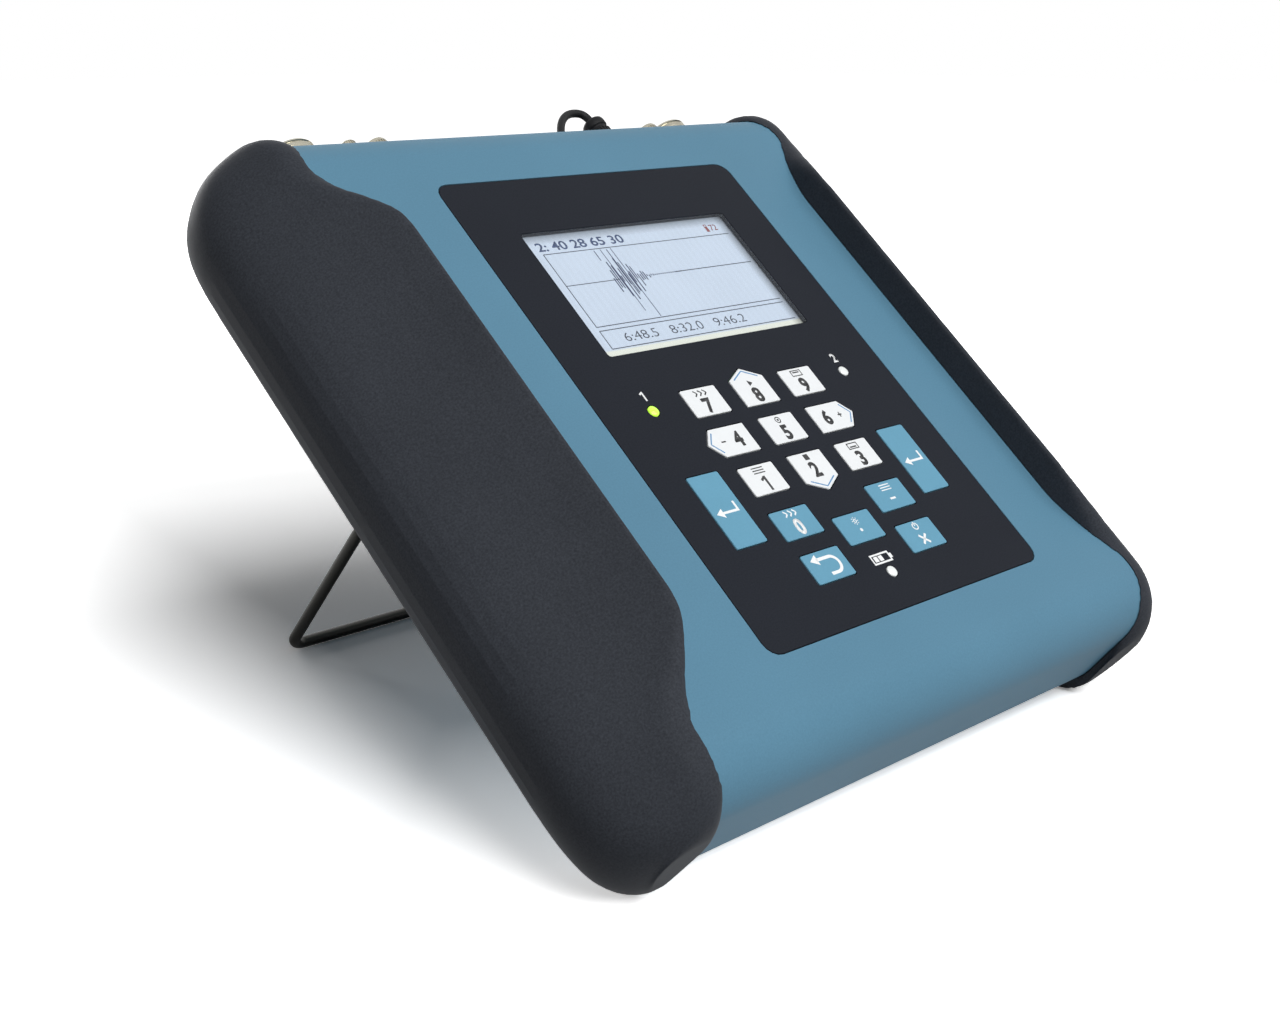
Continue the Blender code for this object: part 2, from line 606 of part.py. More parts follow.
# Clips on the back that hold the bail's ends and stop it upright
def clip(name, side):
    eye = WIRE_RADIUS + GAP
    dome = eye + CLIP_WALL
    base = -PIVOT_DROP + GAP
    deck = base + CLIP_WALL
    foot = dome + CLIP_FLANGE
    side_in = math.sqrt(dome * dome - deck * deck)
    start = math.degrees(math.atan2(deck, side_in))
    outer = [(-foot, base), (foot, base), (foot, deck)] + arc(0, 0, dome, start, 180 - start, 12) + [(-foot, deck)]
    inner = BAIL_WIDTH / 2 - PIN_LENGTH - GAP - CLIP_WALL
    end = BAIL_WIDTH / 2 - BAIL_BEND - GAP
    low, high = sorted((side * inner, side * end))
    strip = [(x, -z) for x, z in outer]
    made = slab(name, [strip, circle(eye, 18)], low, high, (0, BAIL_Y, PIVOT_Z), axis="x")
    tip = BAIL_WIDTH / 2 + WIRE_RADIUS + CLIP_WALL
    near, far = sorted((side * (end - CLIP_WALL), side * tip))
    rest = eye + 0.00015
    tab = [(rest, -base), (rest + CLIP_WALL, -base), (rest + CLIP_WALL, -base - STOP_TALL), (rest, -base - STOP_TALL)]
    stop = slab(name + "_stop", [tab], near, far, (0, BAIL_Y, PIVOT_Z), axis="x", helper=True)
    cut(made, stop, "UNION")
    return paint(made, (40, 41, 43), 0.45, 0.4)


clip("bail_clip_left", -1)
clip("bail_clip_right", 1)

# Stand the unit on the ground, centred over the origin
bpy.context.view_layer.update()
graph = bpy.context.evaluated_depsgraph_get()
corners = []
for part in PARTS.objects:
    seen = part.evaluated_get(graph)
    shape = seen.to_mesh()
    corners += [seen.matrix_world @ v.co for v in shape.vertices]
    seen.to_mesh_clear()
low = Vector([min(c[i] for c in corners) for i in range(3)])
high = Vector([max(c[i] for c in corners) for i in range(3)])
UNIT.location -= Vector(((low.x + high.x) / 2, (low.y + high.y) / 2, low.z))
bpy.context.view_layer.update()
print("lean", round(math.degrees(UNIT.rotation_euler.x), 2), "size", [round(v, 4) for v in high - low])
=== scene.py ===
import json
import math

import bpy
from mathutils import Matrix, Vector
from mathutils.bvhtree import BVHTree


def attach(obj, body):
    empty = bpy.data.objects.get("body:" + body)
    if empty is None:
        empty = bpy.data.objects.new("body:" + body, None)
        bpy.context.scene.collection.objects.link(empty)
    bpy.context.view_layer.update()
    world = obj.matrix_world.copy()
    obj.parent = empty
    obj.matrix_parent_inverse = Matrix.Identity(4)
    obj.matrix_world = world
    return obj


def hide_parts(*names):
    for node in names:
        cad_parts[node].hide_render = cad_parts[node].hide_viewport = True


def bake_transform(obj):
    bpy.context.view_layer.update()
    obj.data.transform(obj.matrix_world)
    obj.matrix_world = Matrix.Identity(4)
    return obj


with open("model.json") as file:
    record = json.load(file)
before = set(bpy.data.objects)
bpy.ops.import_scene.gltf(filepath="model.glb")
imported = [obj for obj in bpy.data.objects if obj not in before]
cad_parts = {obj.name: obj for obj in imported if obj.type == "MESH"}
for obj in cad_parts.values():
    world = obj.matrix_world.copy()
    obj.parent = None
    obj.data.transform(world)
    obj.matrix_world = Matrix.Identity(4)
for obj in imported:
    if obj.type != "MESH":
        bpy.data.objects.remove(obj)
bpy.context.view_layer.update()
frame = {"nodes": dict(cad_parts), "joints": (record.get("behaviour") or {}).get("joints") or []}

scene = bpy.context.scene
scene.view_settings.view_transform = "Standard"

# The meter is modelled lying flat: x to the right, y up the face, z out of the face.
# Its lean is read from the joints, so a finished piece only has to be leaned once.
joints = {joint["name"]: joint for joint in frame["joints"]}
upFace = Vector(joints["dust_cap_pull"]["axis"]).normalized()
outFace = -Vector(joints["key_5_press"]["axis"]).normalized()
bailPin = {"up": 0.0452, "out": -0.0504}
faceCentre = Vector(joints["bail_fold"]["pos_m"]) - upFace * bailPin["up"] - outFace * bailPin["out"]
lean = Matrix.Identity(4)
lean.col[1] = (*upFace, 0.0)
lean.col[2] = (*outFace, 0.0)
lean.col[3] = (*faceCentre, 1.0)
print("frame read, meter leans", round(math.degrees(math.asin(upFace.z)), 2), "degrees")


def setMode(mode):
    bpy.ops.object.mode_set(mode=mode)


def selectAll(action="SELECT"):
    bpy.ops.mesh.select_all(action=action)


def deselect():
    active = bpy.context.view_layer.objects.active
    if active is not None and active.mode != "OBJECT":
        setMode("OBJECT")
    bpy.ops.object.select_all(action="DESELECT")


def pick(*objs):
    deselect()
    for obj in objs:
        obj.select_set(True)
    bpy.context.view_layer.objects.active = objs[0]
    return objs[0]


def editAll(obj):
    pick(obj)
    setMode("EDIT")
    selectAll()


def closeEdit(obj, merge=0.000004):
    selectAll()
    bpy.ops.mesh.remove_doubles(threshold=merge)
    bpy.ops.mesh.normals_make_consistent(inside=False)
    setMode("OBJECT")
    return obj


def pickParts(obj, kind, wanted):
    # leaves edit mode open with only these faces or edges selected
    pick(obj)
    setMode("EDIT")
    bpy.ops.mesh.select_mode(type=kind)
    selectAll("DESELECT")
    setMode("OBJECT")
    parts = obj.data.polygons if kind == "FACE" else obj.data.edges
    for index in wanted:
        parts[index].select = True
    setMode("EDIT")


def facesOut(obj):
    editAll(obj)
    bpy.ops.mesh.normals_make_consistent(inside=False)
    setMode("OBJECT")


def applyModifiers(obj):
    pick(obj)
    for modifier in list(obj.modifiers):
        bpy.ops.object.modifier_apply(modifier=modifier.name)
    return obj


def smoothBy(obj, degrees):
    pick(obj)
    bpy.ops.object.shade_smooth_by_angle(angle=math.radians(degrees))
    return obj


def joined(objs):
    if len(objs) > 1:
        pick(*objs)
        bpy.ops.object.join()
    return objs[0]


def copied(obj, move):
    pick(obj)
    bpy.ops.object.duplicate(linked=False)
    twin = bpy.context.object
    twin.location = Vector(move)
    bpy.ops.object.transform_apply(location=True)
    return twin


def copiesAt(first, spots):
    # the piece modelled at the first spot, and a copy with its own mesh at each of the others
    home = next(iter(spots.values()))
    return {name: first if spot == home else copied(first, spot - home) for name, spot in spots.items()}


def settle(obj, name, body, finish, slot, stands=(), leaned=True):
    if leaned:
        pick(obj)
        obj.matrix_world = lean @ obj.matrix_world
        bpy.ops.object.transform_apply(location=True, rotation=True, scale=True)
    obj.name = name
    obj.data.name = name
    obj.data.materials.clear()
    obj.data.materials.append(finishes[finish])
    if body:
        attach(obj, body)
    if stands:
        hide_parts(*stands)
    return obj


def settleAt(first, spots, name, finish, slot, stands=None):
    for side, obj in copiesAt(first, spots).items():
        settle(obj, name + side, "housing", finish, slot, [stands + side] if stands else ())


# finishes: tones are written as screen colours and turned to linear light
def shade(red, green, blue):
    channel = [c / 255 for c in (red, green, blue)]
    return tuple(c / 12.92 if c <= 0.04045 else ((c + 0.055) / 1.055) ** 2.4 for c in channel)


def tinted(colour, factor):
    return (*[min(1.0, c * factor) for c in colour], 1.0)


def setInputs(node, values):
    for name, value in values.items():
        node.inputs[name].default_value = value


def startFinish(name, metal=0.0, specular=0.5, edge=1.0):
    finish = bpy.data.materials.new(name)
    finish.use_nodes = True
    shader = finish.node_tree.nodes["Principled BSDF"]
    setInputs(shader, {"Metallic": metal, "Specular IOR Level": specular, "Specular Tint": (edge, edge, edge, 1.0)})
    return finish, finish.node_tree, shader


def addNoise(tree, vector, scale, detail=2.0, rough=0.5):
    noise = tree.nodes.new("ShaderNodeTexNoise")
    setInputs(noise, {"Scale": scale, "Detail": detail, "Roughness": rough})
    tree.links.new(vector, noise.inputs["Vector"])
    return noise.outputs["Fac"]


def addRamp(tree, source, places, colours):
    ramp = tree.nodes.new("ShaderNodeValToRGB")
    for end, place, colour in zip(ramp.color_ramp.elements, places, colours):
        end.position = place
        end.color = colour
    tree.links.new(source, ramp.inputs["Fac"])
    return ramp.outputs["Color"]


def addRange(tree, source, fromLow, fromHigh, low, high):
    span = tree.nodes.new("ShaderNodeMapRange")
    for socket, value in zip(span.inputs[1:5], (fromLow, fromHigh, low, high)):
        socket.default_value = value
    tree.links.new(source, span.inputs["Value"])
    return span.outputs["Result"]


def feed(tree, socket, value):
    # a plain value is set on the socket, anything else is linked to it
    if isinstance(value, (int, float, tuple)):
        socket.default_value = value
    else:
        tree.links.new(value, socket)


def addMath(tree, kind, first, second):
    step = tree.nodes.new("ShaderNodeMath")
    step.operation = kind
    feed(tree, step.inputs[0], first)
    feed(tree, step.inputs[1], second)
    return step.outputs["Value"]


def addMix(tree, factor, first, second, kind="MIX"):
    mix = tree.nodes.new("ShaderNodeMix")
    mix.data_type = "RGBA"
    mix.blend_type = kind
    for socket, value in ((mix.inputs["Factor"], factor), (mix.inputs[6], first), (mix.inputs[7], second)):
        feed(tree, socket, value)
    return mix.outputs[2]


def flatCoords(tree):
    # object coordinates turned back to the flat meter, in metres
    coords = tree.nodes.new("ShaderNodeTexCoord")
    turn = tree.nodes.new("ShaderNodeMapping")
    turn.vector_type = "TEXTURE"
    setInputs(turn, {"Location": lean.translation, "Rotation": lean.to_euler()})
    tree.links.new(coords.outputs["Object"], turn.inputs["Vector"])
    return turn.outputs["Vector"]


grainSet = {"fineNoise": (3.0, 0.6), "broadNoise": (2.0, 0.5), "fineStops": (0.28, 0.72),
            "broadStops": (0.30, 0.70), "glossSpan": (0.3, 0.7), "bite": 0.35}
plainLook = {"spread": 0.10, "drift": 0.10, "grain": 0.0004, "cloud": 0.02, "rough": (0.42, 0.55), "relief": 0.0,
             "metal": 0.0, "specular": 0.5, "edge": 1.0}


def grainedParts(name, look):
    # one tone with broad and fine variation, its gloss and relief from the same grain
    look = {**plainLook, **look}
    finish, tree, shader = startFinish(name, look["metal"], look["specular"], look["edge"])
    spot = flatCoords(tree)
    fine = addNoise(tree, spot, 1 / look["grain"], *grainSet["fineNoise"])
    broad = addNoise(tree, spot, 1 / look["cloud"], *grainSet["broadNoise"])
    tone, spread, plain = shade(*look["tone"]), look["spread"], (1, 1, 1)
    fineTones = tinted(tone, 1 - spread), tinted(tone, 1 + spread)
    broadTones = tinted(plain, 1 - look["drift"]), tinted(plain, 1.0)
    fineColour = addRamp(tree, fine, grainSet["fineStops"], fineTones)
    broadColour = addRamp(tree, broad, grainSet["broadStops"], broadTones)
    colour = addMix(tree, 1.0, fineColour, broadColour, "MULTIPLY")
    tree.links.new(colour, shader.inputs["Base Color"])
    rough = addRange(tree, fine, *grainSet["glossSpan"], *look["rough"])
    tree.links.new(rough, shader.inputs["Roughness"])
    if look["relief"]:
        bump = tree.nodes.new("ShaderNodeBump")
        setInputs(bump, {"Strength": grainSet["bite"], "Distance": look["relief"]})
        tree.links.new(fine, bump.inputs["Height"])
        tree.links.new(bump.outputs["Normal"], shader.inputs["Normal"])
    return finish, tree, shader, spot, colour


inkLook = {"grain": 0.0003, "cloud": 0.004}
lcdInkLook = {"drift": 0.12, "cloud": 0.003, "rough": (0.5, 0.6), "specular": 0.1}
looks = {
    "sleeveLacquer": {"tone": (93, 136, 160), "spread": 0.07, "drift": 0.06, "grain": 0.0005, "cloud": 0.05,
                      "rough": (0.46, 0.56), "relief": 0.00002, "specular": 0.16, "edge": 0.35},
    "capRubber": {"tone": (59, 62, 68), "spread": 0.22, "grain": 0.00055, "cloud": 0.03,
                  "rough": (0.40, 0.50), "relief": 0.00004, "specular": 0.03, "edge": 0.35},
    "panelFoil": {"tone": (37, 40, 47), "spread": 0.16, "drift": 0.08, "grain": 0.0005, "cloud": 0.04,
                  "rough": (0.38, 0.48), "relief": 0.00002, "specular": 0.03},
    "keyWhite": {"tone": (237, 240, 242), "spread": 0.012, "drift": 0.015, "cloud": 0.008,
                 "rough": (0.42, 0.52), "relief": 0.00001, "specular": 0.15},
    "keyBlue": {"tone": (106, 160, 186), "spread": 0.035, "drift": 0.03, "cloud": 0.012,
                "rough": (0.42, 0.52), "relief": 0.00001, "specular": 0.08},
    "socketNickel": {"tone": (188, 184, 168), "spread": 0.08, "grain": 0.0003, "cloud": 0.004,
                     "rough": (0.16, 0.28), "relief": 0.00001, "metal": 1.0},
    "pinGold": {"tone": (214, 178, 98), "spread": 0.05, "drift": 0.06, "grain": 0.0002, "cloud": 0.002,
                "rough": (0.18, 0.28), "metal": 1.0},
    "bailSteel": {"tone": (44, 44, 40), "spread": 0.12, "rough": (0.34, 0.46), "relief": 0.00002, "metal": 0.45},
    "dustRubber": {"tone": (26, 27, 29), "spread": 0.14, "drift": 0.08, "cloud": 0.01, "rough": (0.46, 0.58),
                   "relief": 0.00002, "specular": 0.15},
    "darkPlastic": {"tone": (34, 35, 38), "drift": 0.06, "rough": (0.45, 0.58), "relief": 0.00002},
    "frameSteel": {"tone": (168, 170, 172), "spread": 0.06, "drift": 0.08, "grain": 0.0006,
                   "rough": (0.30, 0.44), "metal": 0.9},
    "boardGreen": {"tone": (36, 88, 60), "drift": 0.18, "grain": 0.0008, "cloud": 0.006, "rough": (0.34, 0.48)},
    "inkBlack": {**inkLook, "tone": (22, 23, 26), "spread": 0.20},
    "inkWhite": {**inkLook, "tone": (244, 246, 247), "spread": 0.015, "drift": 0.02, "specular": 0.3},
    "inkBlue": {**inkLook, "tone": (98, 146, 190), "spread": 0.04, "drift": 0.04},
    "lcdInk": {**lcdInkLook, "tone": (58, 66, 82), "cloud": 0.004},
    "lcdNavy": {**lcdInkLook, "tone": (34, 48, 88), "drift": 0.15},
    "lcdBlue": {**lcdInkLook, "tone": (66, 84, 124), "drift": 0.15},
    "lcdRed": {**lcdInkLook, "tone": (140, 72, 72)},
}
finishes = {name: grainedParts(name, look)[0] for name, look in looks.items()}

lcdLook = {"tone": (188, 201, 217), "spread": 0.01, "drift": 0.04, "grain": 0.0006, "cloud": 0.02,
           "rough": (0.4, 0.5), "specular": 0.1, "columnPitch": 0.0024, "columnShade": 0.965,
           "rightRim": (0.0360, 0.0394), "topRim": (0.0545, 0.0572), "paintedRimShade": 0.50,
           "footRim": (0.0166, 0.0172), "paintedWallLightTone": (*shade(212, 216, 206), 1.0), "glow": 0.22}


def lcdFinish(look):
    # pale lit display with fine pixel columns
    finish, tree, shader, spot, colour = grainedParts("lcdGlow", look)
    split = tree.nodes.new("ShaderNodeSeparateXYZ")
    tree.links.new(spot, split.inputs["Vector"])
    across, up = split.outputs["X"], split.outputs["Y"]
    wave = addMath(tree, "SINE", addMath(tree, "MULTIPLY", across, math.tau / look["columnPitch"]), 0.0)
    columns = addRange(tree, wave, -1.0, 1.0, look["columnShade"], 1.0)
    pale = addMix(tree, 1.0, colour, columns, "MULTIPLY")
    # painted light and shade: a pale strip painted along the foot stands for the lit wall of the opening, and painted
    # shade darkens the far rims where the opening would shade them
    pale = addMix(tree, addRange(tree, up, *look["footRim"], 1.0, 0.0), pale, look["paintedWallLightTone"])
    rightPaintedShade = addRange(tree, across, *look["rightRim"], 1.0, look["paintedRimShade"])
    topPaintedShade = addRange(tree, up, *look["topRim"], 1.0, look["paintedRimShade"])
    pale = addMix(tree, 1.0, pale, addMath(tree, "MULTIPLY", rightPaintedShade, topPaintedShade), "MULTIPLY")
    tree.links.new(pale, shader.inputs["Base Color"])
    tree.links.new(pale, shader.inputs["Emission Color"])
    shader.inputs["Emission Strength"].default_value = look["glow"]
    return finish


finishes["lcdGlow"] = lcdFinish(lcdLook)

windowLook = {"haze": 900.0, "hazeSpan": (0.3, 0.7), "tints": ((0.70, 0.76, 0.82, 1), (0.76, 0.82, 0.88, 1)),
              "rough": (0.05, 0.10), "alpha": 0.04}


def windowFinish(look):
    finish, tree, shader = startFinish("clearWindow")
    haze = addNoise(tree, flatCoords(tree), look["haze"])
    tree.links.new(addRamp(tree, haze, look["hazeSpan"], look["tints"]), shader.inputs["Base Color"])
    tree.links.new(addRange(tree, haze, *look["hazeSpan"], *look["rough"]), shader.inputs["Roughness"])
    shader.inputs["Alpha"].default_value = look["alpha"]
    return finish


finishes["clearWindow"] = windowFinish(windowLook)

lampLook = {"spread": 0.03, "drift": 0.05, "grain": 0.0003, "cloud": 0.001, "rough": (0.18, 0.28), "coat": 0.6}


def lampFinish(name, tone, glow):
    finish, tree, shader, _, colour = grainedParts(name, {**lampLook, "tone": tone})
    tree.links.new(colour, shader.inputs["Emission Color"])
    setInputs(shader, {"Emission Strength": glow, "Coat Weight": lampLook["coat"]})
    return finish


finishes["lampGreen"] = lampFinish("lampGreen", (178, 236, 58), 0.75)
finishes["lampWhite"] = lampFinish("lampWhite", (232, 236, 235), 0.10)
print("finishes ready")

nodeFinish = {
    "panelFoil": "foil_panel", "clearWindow": "display_window", "lcdGlow": "lcd_module", "frameSteel": "inner_frame",
    "boardGreen": "key_board main_board", "bailSteel": "bail bail_clip_left bail_clip_right",
    "darkPlastic": "panel_carrier battery_pack strap_anchor channel_insert_a channel_insert_b",
    "socketNickel": "service_port earth_post output_socket_left output_socket_right channel_socket_a channel_socket_b",
    "lampGreen": "lamp_channel_a", "lampWhite": "lamp_channel_b lamp_battery", "sleeveLacquer": "sleeve",
    "capRubber": "side_cap_left side_cap_right", "dustRubber": "dust_cap dust_cap_strap",
}
finishOf = {nodeName: name for name, nodeNames in nodeFinish.items() for nodeName in nodeNames.split()}


def isWhiteKey(name):
    return name.startswith("key_") and name[-1] in "123456789"


for nodeName, node in frame["nodes"].items():
    finish = finishes[finishOf.get(nodeName, "keyWhite" if isWhiteKey(nodeName) else "keyBlue")]
    if not node.material_slots:
        node.data.materials.append(finish)
    for place in node.material_slots:
        place.material = finish
print("finishes on", len(frame["nodes"]), "CAD nodes")


# sleeve and side caps: the CAD shapes, with the sleeve's bends smoothed and the caps' edges eased
def copyOf(nodeName, merge=0.000005):
    source = frame["nodes"][nodeName]
    obj = bpy.data.objects.new(nodeName + "Copy", source.data.copy())
    scene.collection.objects.link(obj)
    editAll(obj)
    bpy.ops.mesh.customdata_custom_splitnormals_clear()
    bpy.ops.mesh.remove_doubles(threshold=merge)
    setMode("OBJECT")
    return obj


foldedSleeve = {"foldAngle": 24, "faceWeight": 90}
sleeve = smoothBy(copyOf("sleeve"), foldedSleeve["foldAngle"])
even = sleeve.modifiers.new("even", "WEIGHTED_NORMAL")
even.keep_sharp = True
even.weight = foldedSleeve["faceWeight"]
applyModifiers(sleeve)
settle(sleeve, "foldedSleeve", "housing", "sleeveLacquer", "sleeve_metal", ["sleeve"], leaned=False)

gripCap = {"halvings": 8, "longest": 0.0028, "held": 0.0003, "fade": 0.0012, "pull": 0.5, "passes": 5,
           "keep": 0.4, "smooth": 60}


def moulded(obj, look, against):
    # soft rubber: long edges are halved until the faces are small, then all but the lips on the sleeve is eased
    for _ in range(look["halvings"]):
        points = obj.data.vertices
        ends = [(edge.index, *edge.vertices) for edge in obj.data.edges]
        pickParts(obj, "EDGE", [index for index, first, last in ends
                                if (points[first].co - points[last].co).length > look["longest"]])
        bpy.ops.mesh.subdivide(number_cuts=1, ngon=False)
        selectAll()
        bpy.ops.mesh.quads_convert_to_tris()
        setMode("OBJECT")
    shell = BVHTree.FromPolygons([point.co for point in against.data.vertices],
                                 [face.vertices[:] for face in against.data.polygons])
    free = obj.vertex_groups.new(name="free")
    for point in obj.data.vertices:
        gap = shell.find_nearest(point.co)[3]
        free.add([point.index], min(1.0, max(0.0, (gap - look["held"]) / look["fade"])), "REPLACE")
    ease = obj.modifiers.new("ease", "SMOOTH")
    ease.factor = look["pull"]
    ease.iterations = look["passes"]
    ease.vertex_group = free.name
    thin = obj.modifiers.new("thin", "DECIMATE")
    thin.ratio = look["keep"]
    applyModifiers(obj)
    obj.vertex_groups.clear()
    return smoothBy(obj, look["smooth"])


for side in ("left", "right"):
    grip = moulded(copyOf("side_cap_" + side), gripCap, sleeve)
    settle(grip, "gripCap_" + side, "housing", "capRubber", "soft_grip", ["side_cap_" + side], leaned=False)
print("sleeve smoothed and side caps moulded")


# turned pieces: a point is drawn out along a profile of radius and height, then spun about its axis
mm = 0.001    # their profiles, flanges, threads and ribs are in millimetres


def turnPiece(profile, centre, steps=48, along="y", seed=0.0001):
    centre = Vector(centre)
    climb = Vector((0, 1, 0)) if along == "y" else Vector((0, 0, 1))
    spots = [centre + (Vector((radius, 0, 0)) + climb * height) * mm for radius, height in profile]
    deselect()
    bpy.ops.mesh.primitive_plane_add(size=seed, location=spots[0])
    obj = bpy.context.object
    bpy.ops.object.transform_apply(location=True)
    setMode("EDIT")
    bpy.ops.mesh.select_mode(type="VERT")
    selectAll()
    bpy.ops.mesh.merge(type="CENTER")
    for before, after in zip(spots, spots[1:]):
        bpy.ops.mesh.extrude_vertices_move(TRANSFORM_OT_translate={"value": after - before})
    selectAll()
    bpy.ops.mesh.spin(steps=steps, angle=math.tau, center=centre, axis=climb)
    return closeEdit(obj)


def fluted(obj, centre, ribs, upright=0.3):
    # every second face of one turned band is pushed in, which leaves upright ribs
    low, high = ribs["band"]
    band = []
    for face in obj.data.polygons:
        out = Vector((face.center.x - centre[0], 0, face.center.z - centre[2])) / mm
        inBand = low < (face.center.y - centre[1]) / mm < high and out.length > ribs["outside"]
        if inBand and abs(face.normal.y) < upright:
            band.append((math.atan2(out.z, out.x), face.index))
    pickParts(obj, "FACE", [index for _, index in sorted(band)[::2]])
    bpy.ops.mesh.extrude_faces_move(TRANSFORM_OT_shrink_fatten={"value": -ribs["depth"] * mm})
    bpy.ops.mesh.select_mode(type="VERT")
    return closeEdit(obj, merge=0.000001)


topEdge = 0.1025    # the sleeve's upper side, up the face
stemFoot = -4.0     # how far a stem reaches down into the sleeve
seat = 0.3          # where a flange starts above it


def spotsOf(look):
    return {side: Vector((x, topEdge, look["deep"])) for side, x in look["places"].items()}


def footSteps(look, ease=0.2):
    # the sunk stem and round flange that each small socket stands on
    stem, flange = look["stem"], look["flange"]
    return [(0, stemFoot), (stem, stemFoot), (stem, seat), (flange - ease, seat), (flange, 0.5), (flange, 1.7),
            (flange - ease, 1.9)]


def threadSteps(look):
    steps = []
    for turn in range(look["threads"]):
        start = look["threadFoot"] + turn * look["pitch"]
        rise, top, fall = (start + share * look["pitch"] for share in look["flanks"])
        steps += [(look["root"], start), (look["crest"], rise), (look["crest"], top), (look["root"], fall)]
    return steps


# channel sockets: flange, threaded barrel, deep bore with an insert and gilt pins
channelSet = {"places": {"a": -0.0710, "b": 0.0745}, "deep": -0.0235, "stem": 6.4, "flange": 8.8, "neck": 7.4,
              "crest": 8.0, "root": 7.66, "bore": 6.4, "tall": 10.0, "threads": 5, "threadFoot": 3.4, "pitch": 1.12,
              "flanks": (0.35, 0.60, 0.95), "pins": 6, "pinRing": 0.0034}
stem, flange, neck = channelSet["stem"], channelSet["flange"], channelSet["neck"]
crest, bore, tall = channelSet["crest"], channelSet["bore"], channelSet["tall"]
channelShape = [(0, stemFoot), (stem, stemFoot), (stem, seat), (flange - 0.2, seat), (flange, 0.5), (flange, 1.6),
                (flange - 0.3, 1.9), (neck, 1.9), (neck, 3.1), (channelSet["root"], 3.3), *threadSteps(channelSet),
                (crest, 9.2), (crest, 9.4), (crest - 0.4, tall), (bore + 0.3, tall), (bore, tall - 0.3),
                (bore, 1.9), (0, 1.9)]
insertShape = [(0, 2.2), (6.1, 2.2), (6.1, 2.8), (5.9, 3.0), (5.2, 3.0), (5.0, 2.75), (0, 2.75)]
pinShape = [(0, 2.7), (0.5, 2.7), (0.5, 6.4), (0.4, 6.7), (0.2, 6.9), (0, 6.9)]
spots = spotsOf(channelSet)
barrel = smoothBy(turnPiece(channelShape, spots["a"], 64), 32)
settleAt(barrel, spots, "channelBarrel_", "socketNickel", "socket_metal", "channel_socket_")
core = smoothBy(turnPiece(insertShape, spots["a"], 48), 35)
settleAt(core, spots, "channelInsert_", "darkPlastic", "dark_plastic", "channel_insert_")
pins = [turnPiece(pinShape, spots["a"], 16)]
for turn in range(channelSet["pins"]):
    angle = math.tau * turn / channelSet["pins"]
    pins.append(copied(pins[0], Vector((math.cos(angle), 0, math.sin(angle))) * channelSet["pinRing"]))
settleAt(smoothBy(joined(pins), 40), spots, "channelPins_", "pinGold", "socket_metal")

# output sockets: a small fluted collar with one centre contact
outputSet = {"places": {"left": -0.0465, "right": 0.0603}, "deep": -0.0175, "stem": 2.5, "flange": 4.5,
             "ribs": {"band": (3.6, 5.8), "outside": 3.4, "depth": 0.22}}
outputShape = [*footSteps(outputSet), (3.1, 1.9), (3.1, 3.1), (3.5, 3.3), (3.7, 3.5), (3.7, 5.9), (3.6, 6.2),
               (3.6, 6.6), (3.3, 7.1), (2.8, 7.1), (2.6, 6.9), (2.6, 5.9), (0, 5.9)]
contactShape = [(0, 5.6), (0.7, 5.6), (0.7, 6.4), (0.5, 6.7), (0, 6.7)]
spots = spotsOf(outputSet)
collar = fluted(turnPiece(outputShape, spots["left"], 56), spots["left"], outputSet["ribs"])
settleAt(smoothBy(collar, 32), spots, "outputCollar_", "socketNickel", "socket_metal", "output_socket_")
contact = smoothBy(turnPiece(contactShape, spots["left"], 20), 40)
settleAt(contact, spots, "outputContact_", "pinGold", "socket_metal")

# earth post: a fluted thumb nut on a thin neck
postSet = {"place": (-0.0555, topEdge, -0.0175), "stem": 1.6, "flange": 3.4,
           "ribs": {"band": (4.1, 7.1), "outside": 2.2, "depth": 0.20}}
postShape = [*footSteps(postSet), (1.5, 1.9), (1.5, 3.2), (2.4, 3.6), (2.6, 3.9), (2.6, 7.3), (2.4, 7.7),
             (1.8, 8.2), (0.9, 8.2), (0.8, 7.9), (0, 7.9)]
nut = fluted(turnPiece(postShape, postSet["place"]), postSet["place"], postSet["ribs"])
settle(smoothBy(nut, 32), "earthNut", "housing", "socketNickel", "socket_metal", ["earth_post"])

# service port, seen once its cap is pulled
portSet = {"place": (0.0435, topEdge, -0.0200), "stem": 1.6, "flange": 3.7, "crest": 2.2, "root": 2.0,
           "threads": 7, "threadFoot": 3.0, "pitch": 0.9, "flanks": (3 / 9, 5 / 9, 8 / 9)}
portShape = [*footSteps(portSet), (2.2, 1.9), *threadSteps(portSet), (2.2, 9.6), (2.2, 10.0), (1.9, 10.4),
             (1.4, 10.4), (1.3, 10.2), (1.3, 9.4), (0, 9.4)]
port = smoothBy(turnPiece(portShape, portSet["place"], 40), 32)
settle(port, "servicePort", "housing", "socketNickel", "socket_metal", ["service_port"])

# dust cap: a hollow rubber cap, ribbed below a waist
dustRibs = {"band": (3.0, 9.1), "outside": 3.3, "depth": 0.22}
dustShape = [(0, 10.7), (2.4, 10.7), (2.5, 10.6), (2.5, 2.2), (3.4, 2.2), (3.7, 2.5), (3.7, 9.2), (3.5, 9.5),
             (3.1, 9.8), (3.0, 10.1), (3.0, 10.5), (3.1, 10.8), (3.5, 11.0), (3.7, 11.3), (3.7, 12.9), (3.5, 13.6),
             (3.1, 14.0), (2.7, 14.1), (0, 14.1)]
dustCap = fluted(turnPiece(dustShape, portSet["place"]), portSet["place"], dustRibs)
settle(smoothBy(dustCap, 34), "ribbedDustCap", "dust_cap", "dustRubber", "dust_rubber", ["dust_cap"])

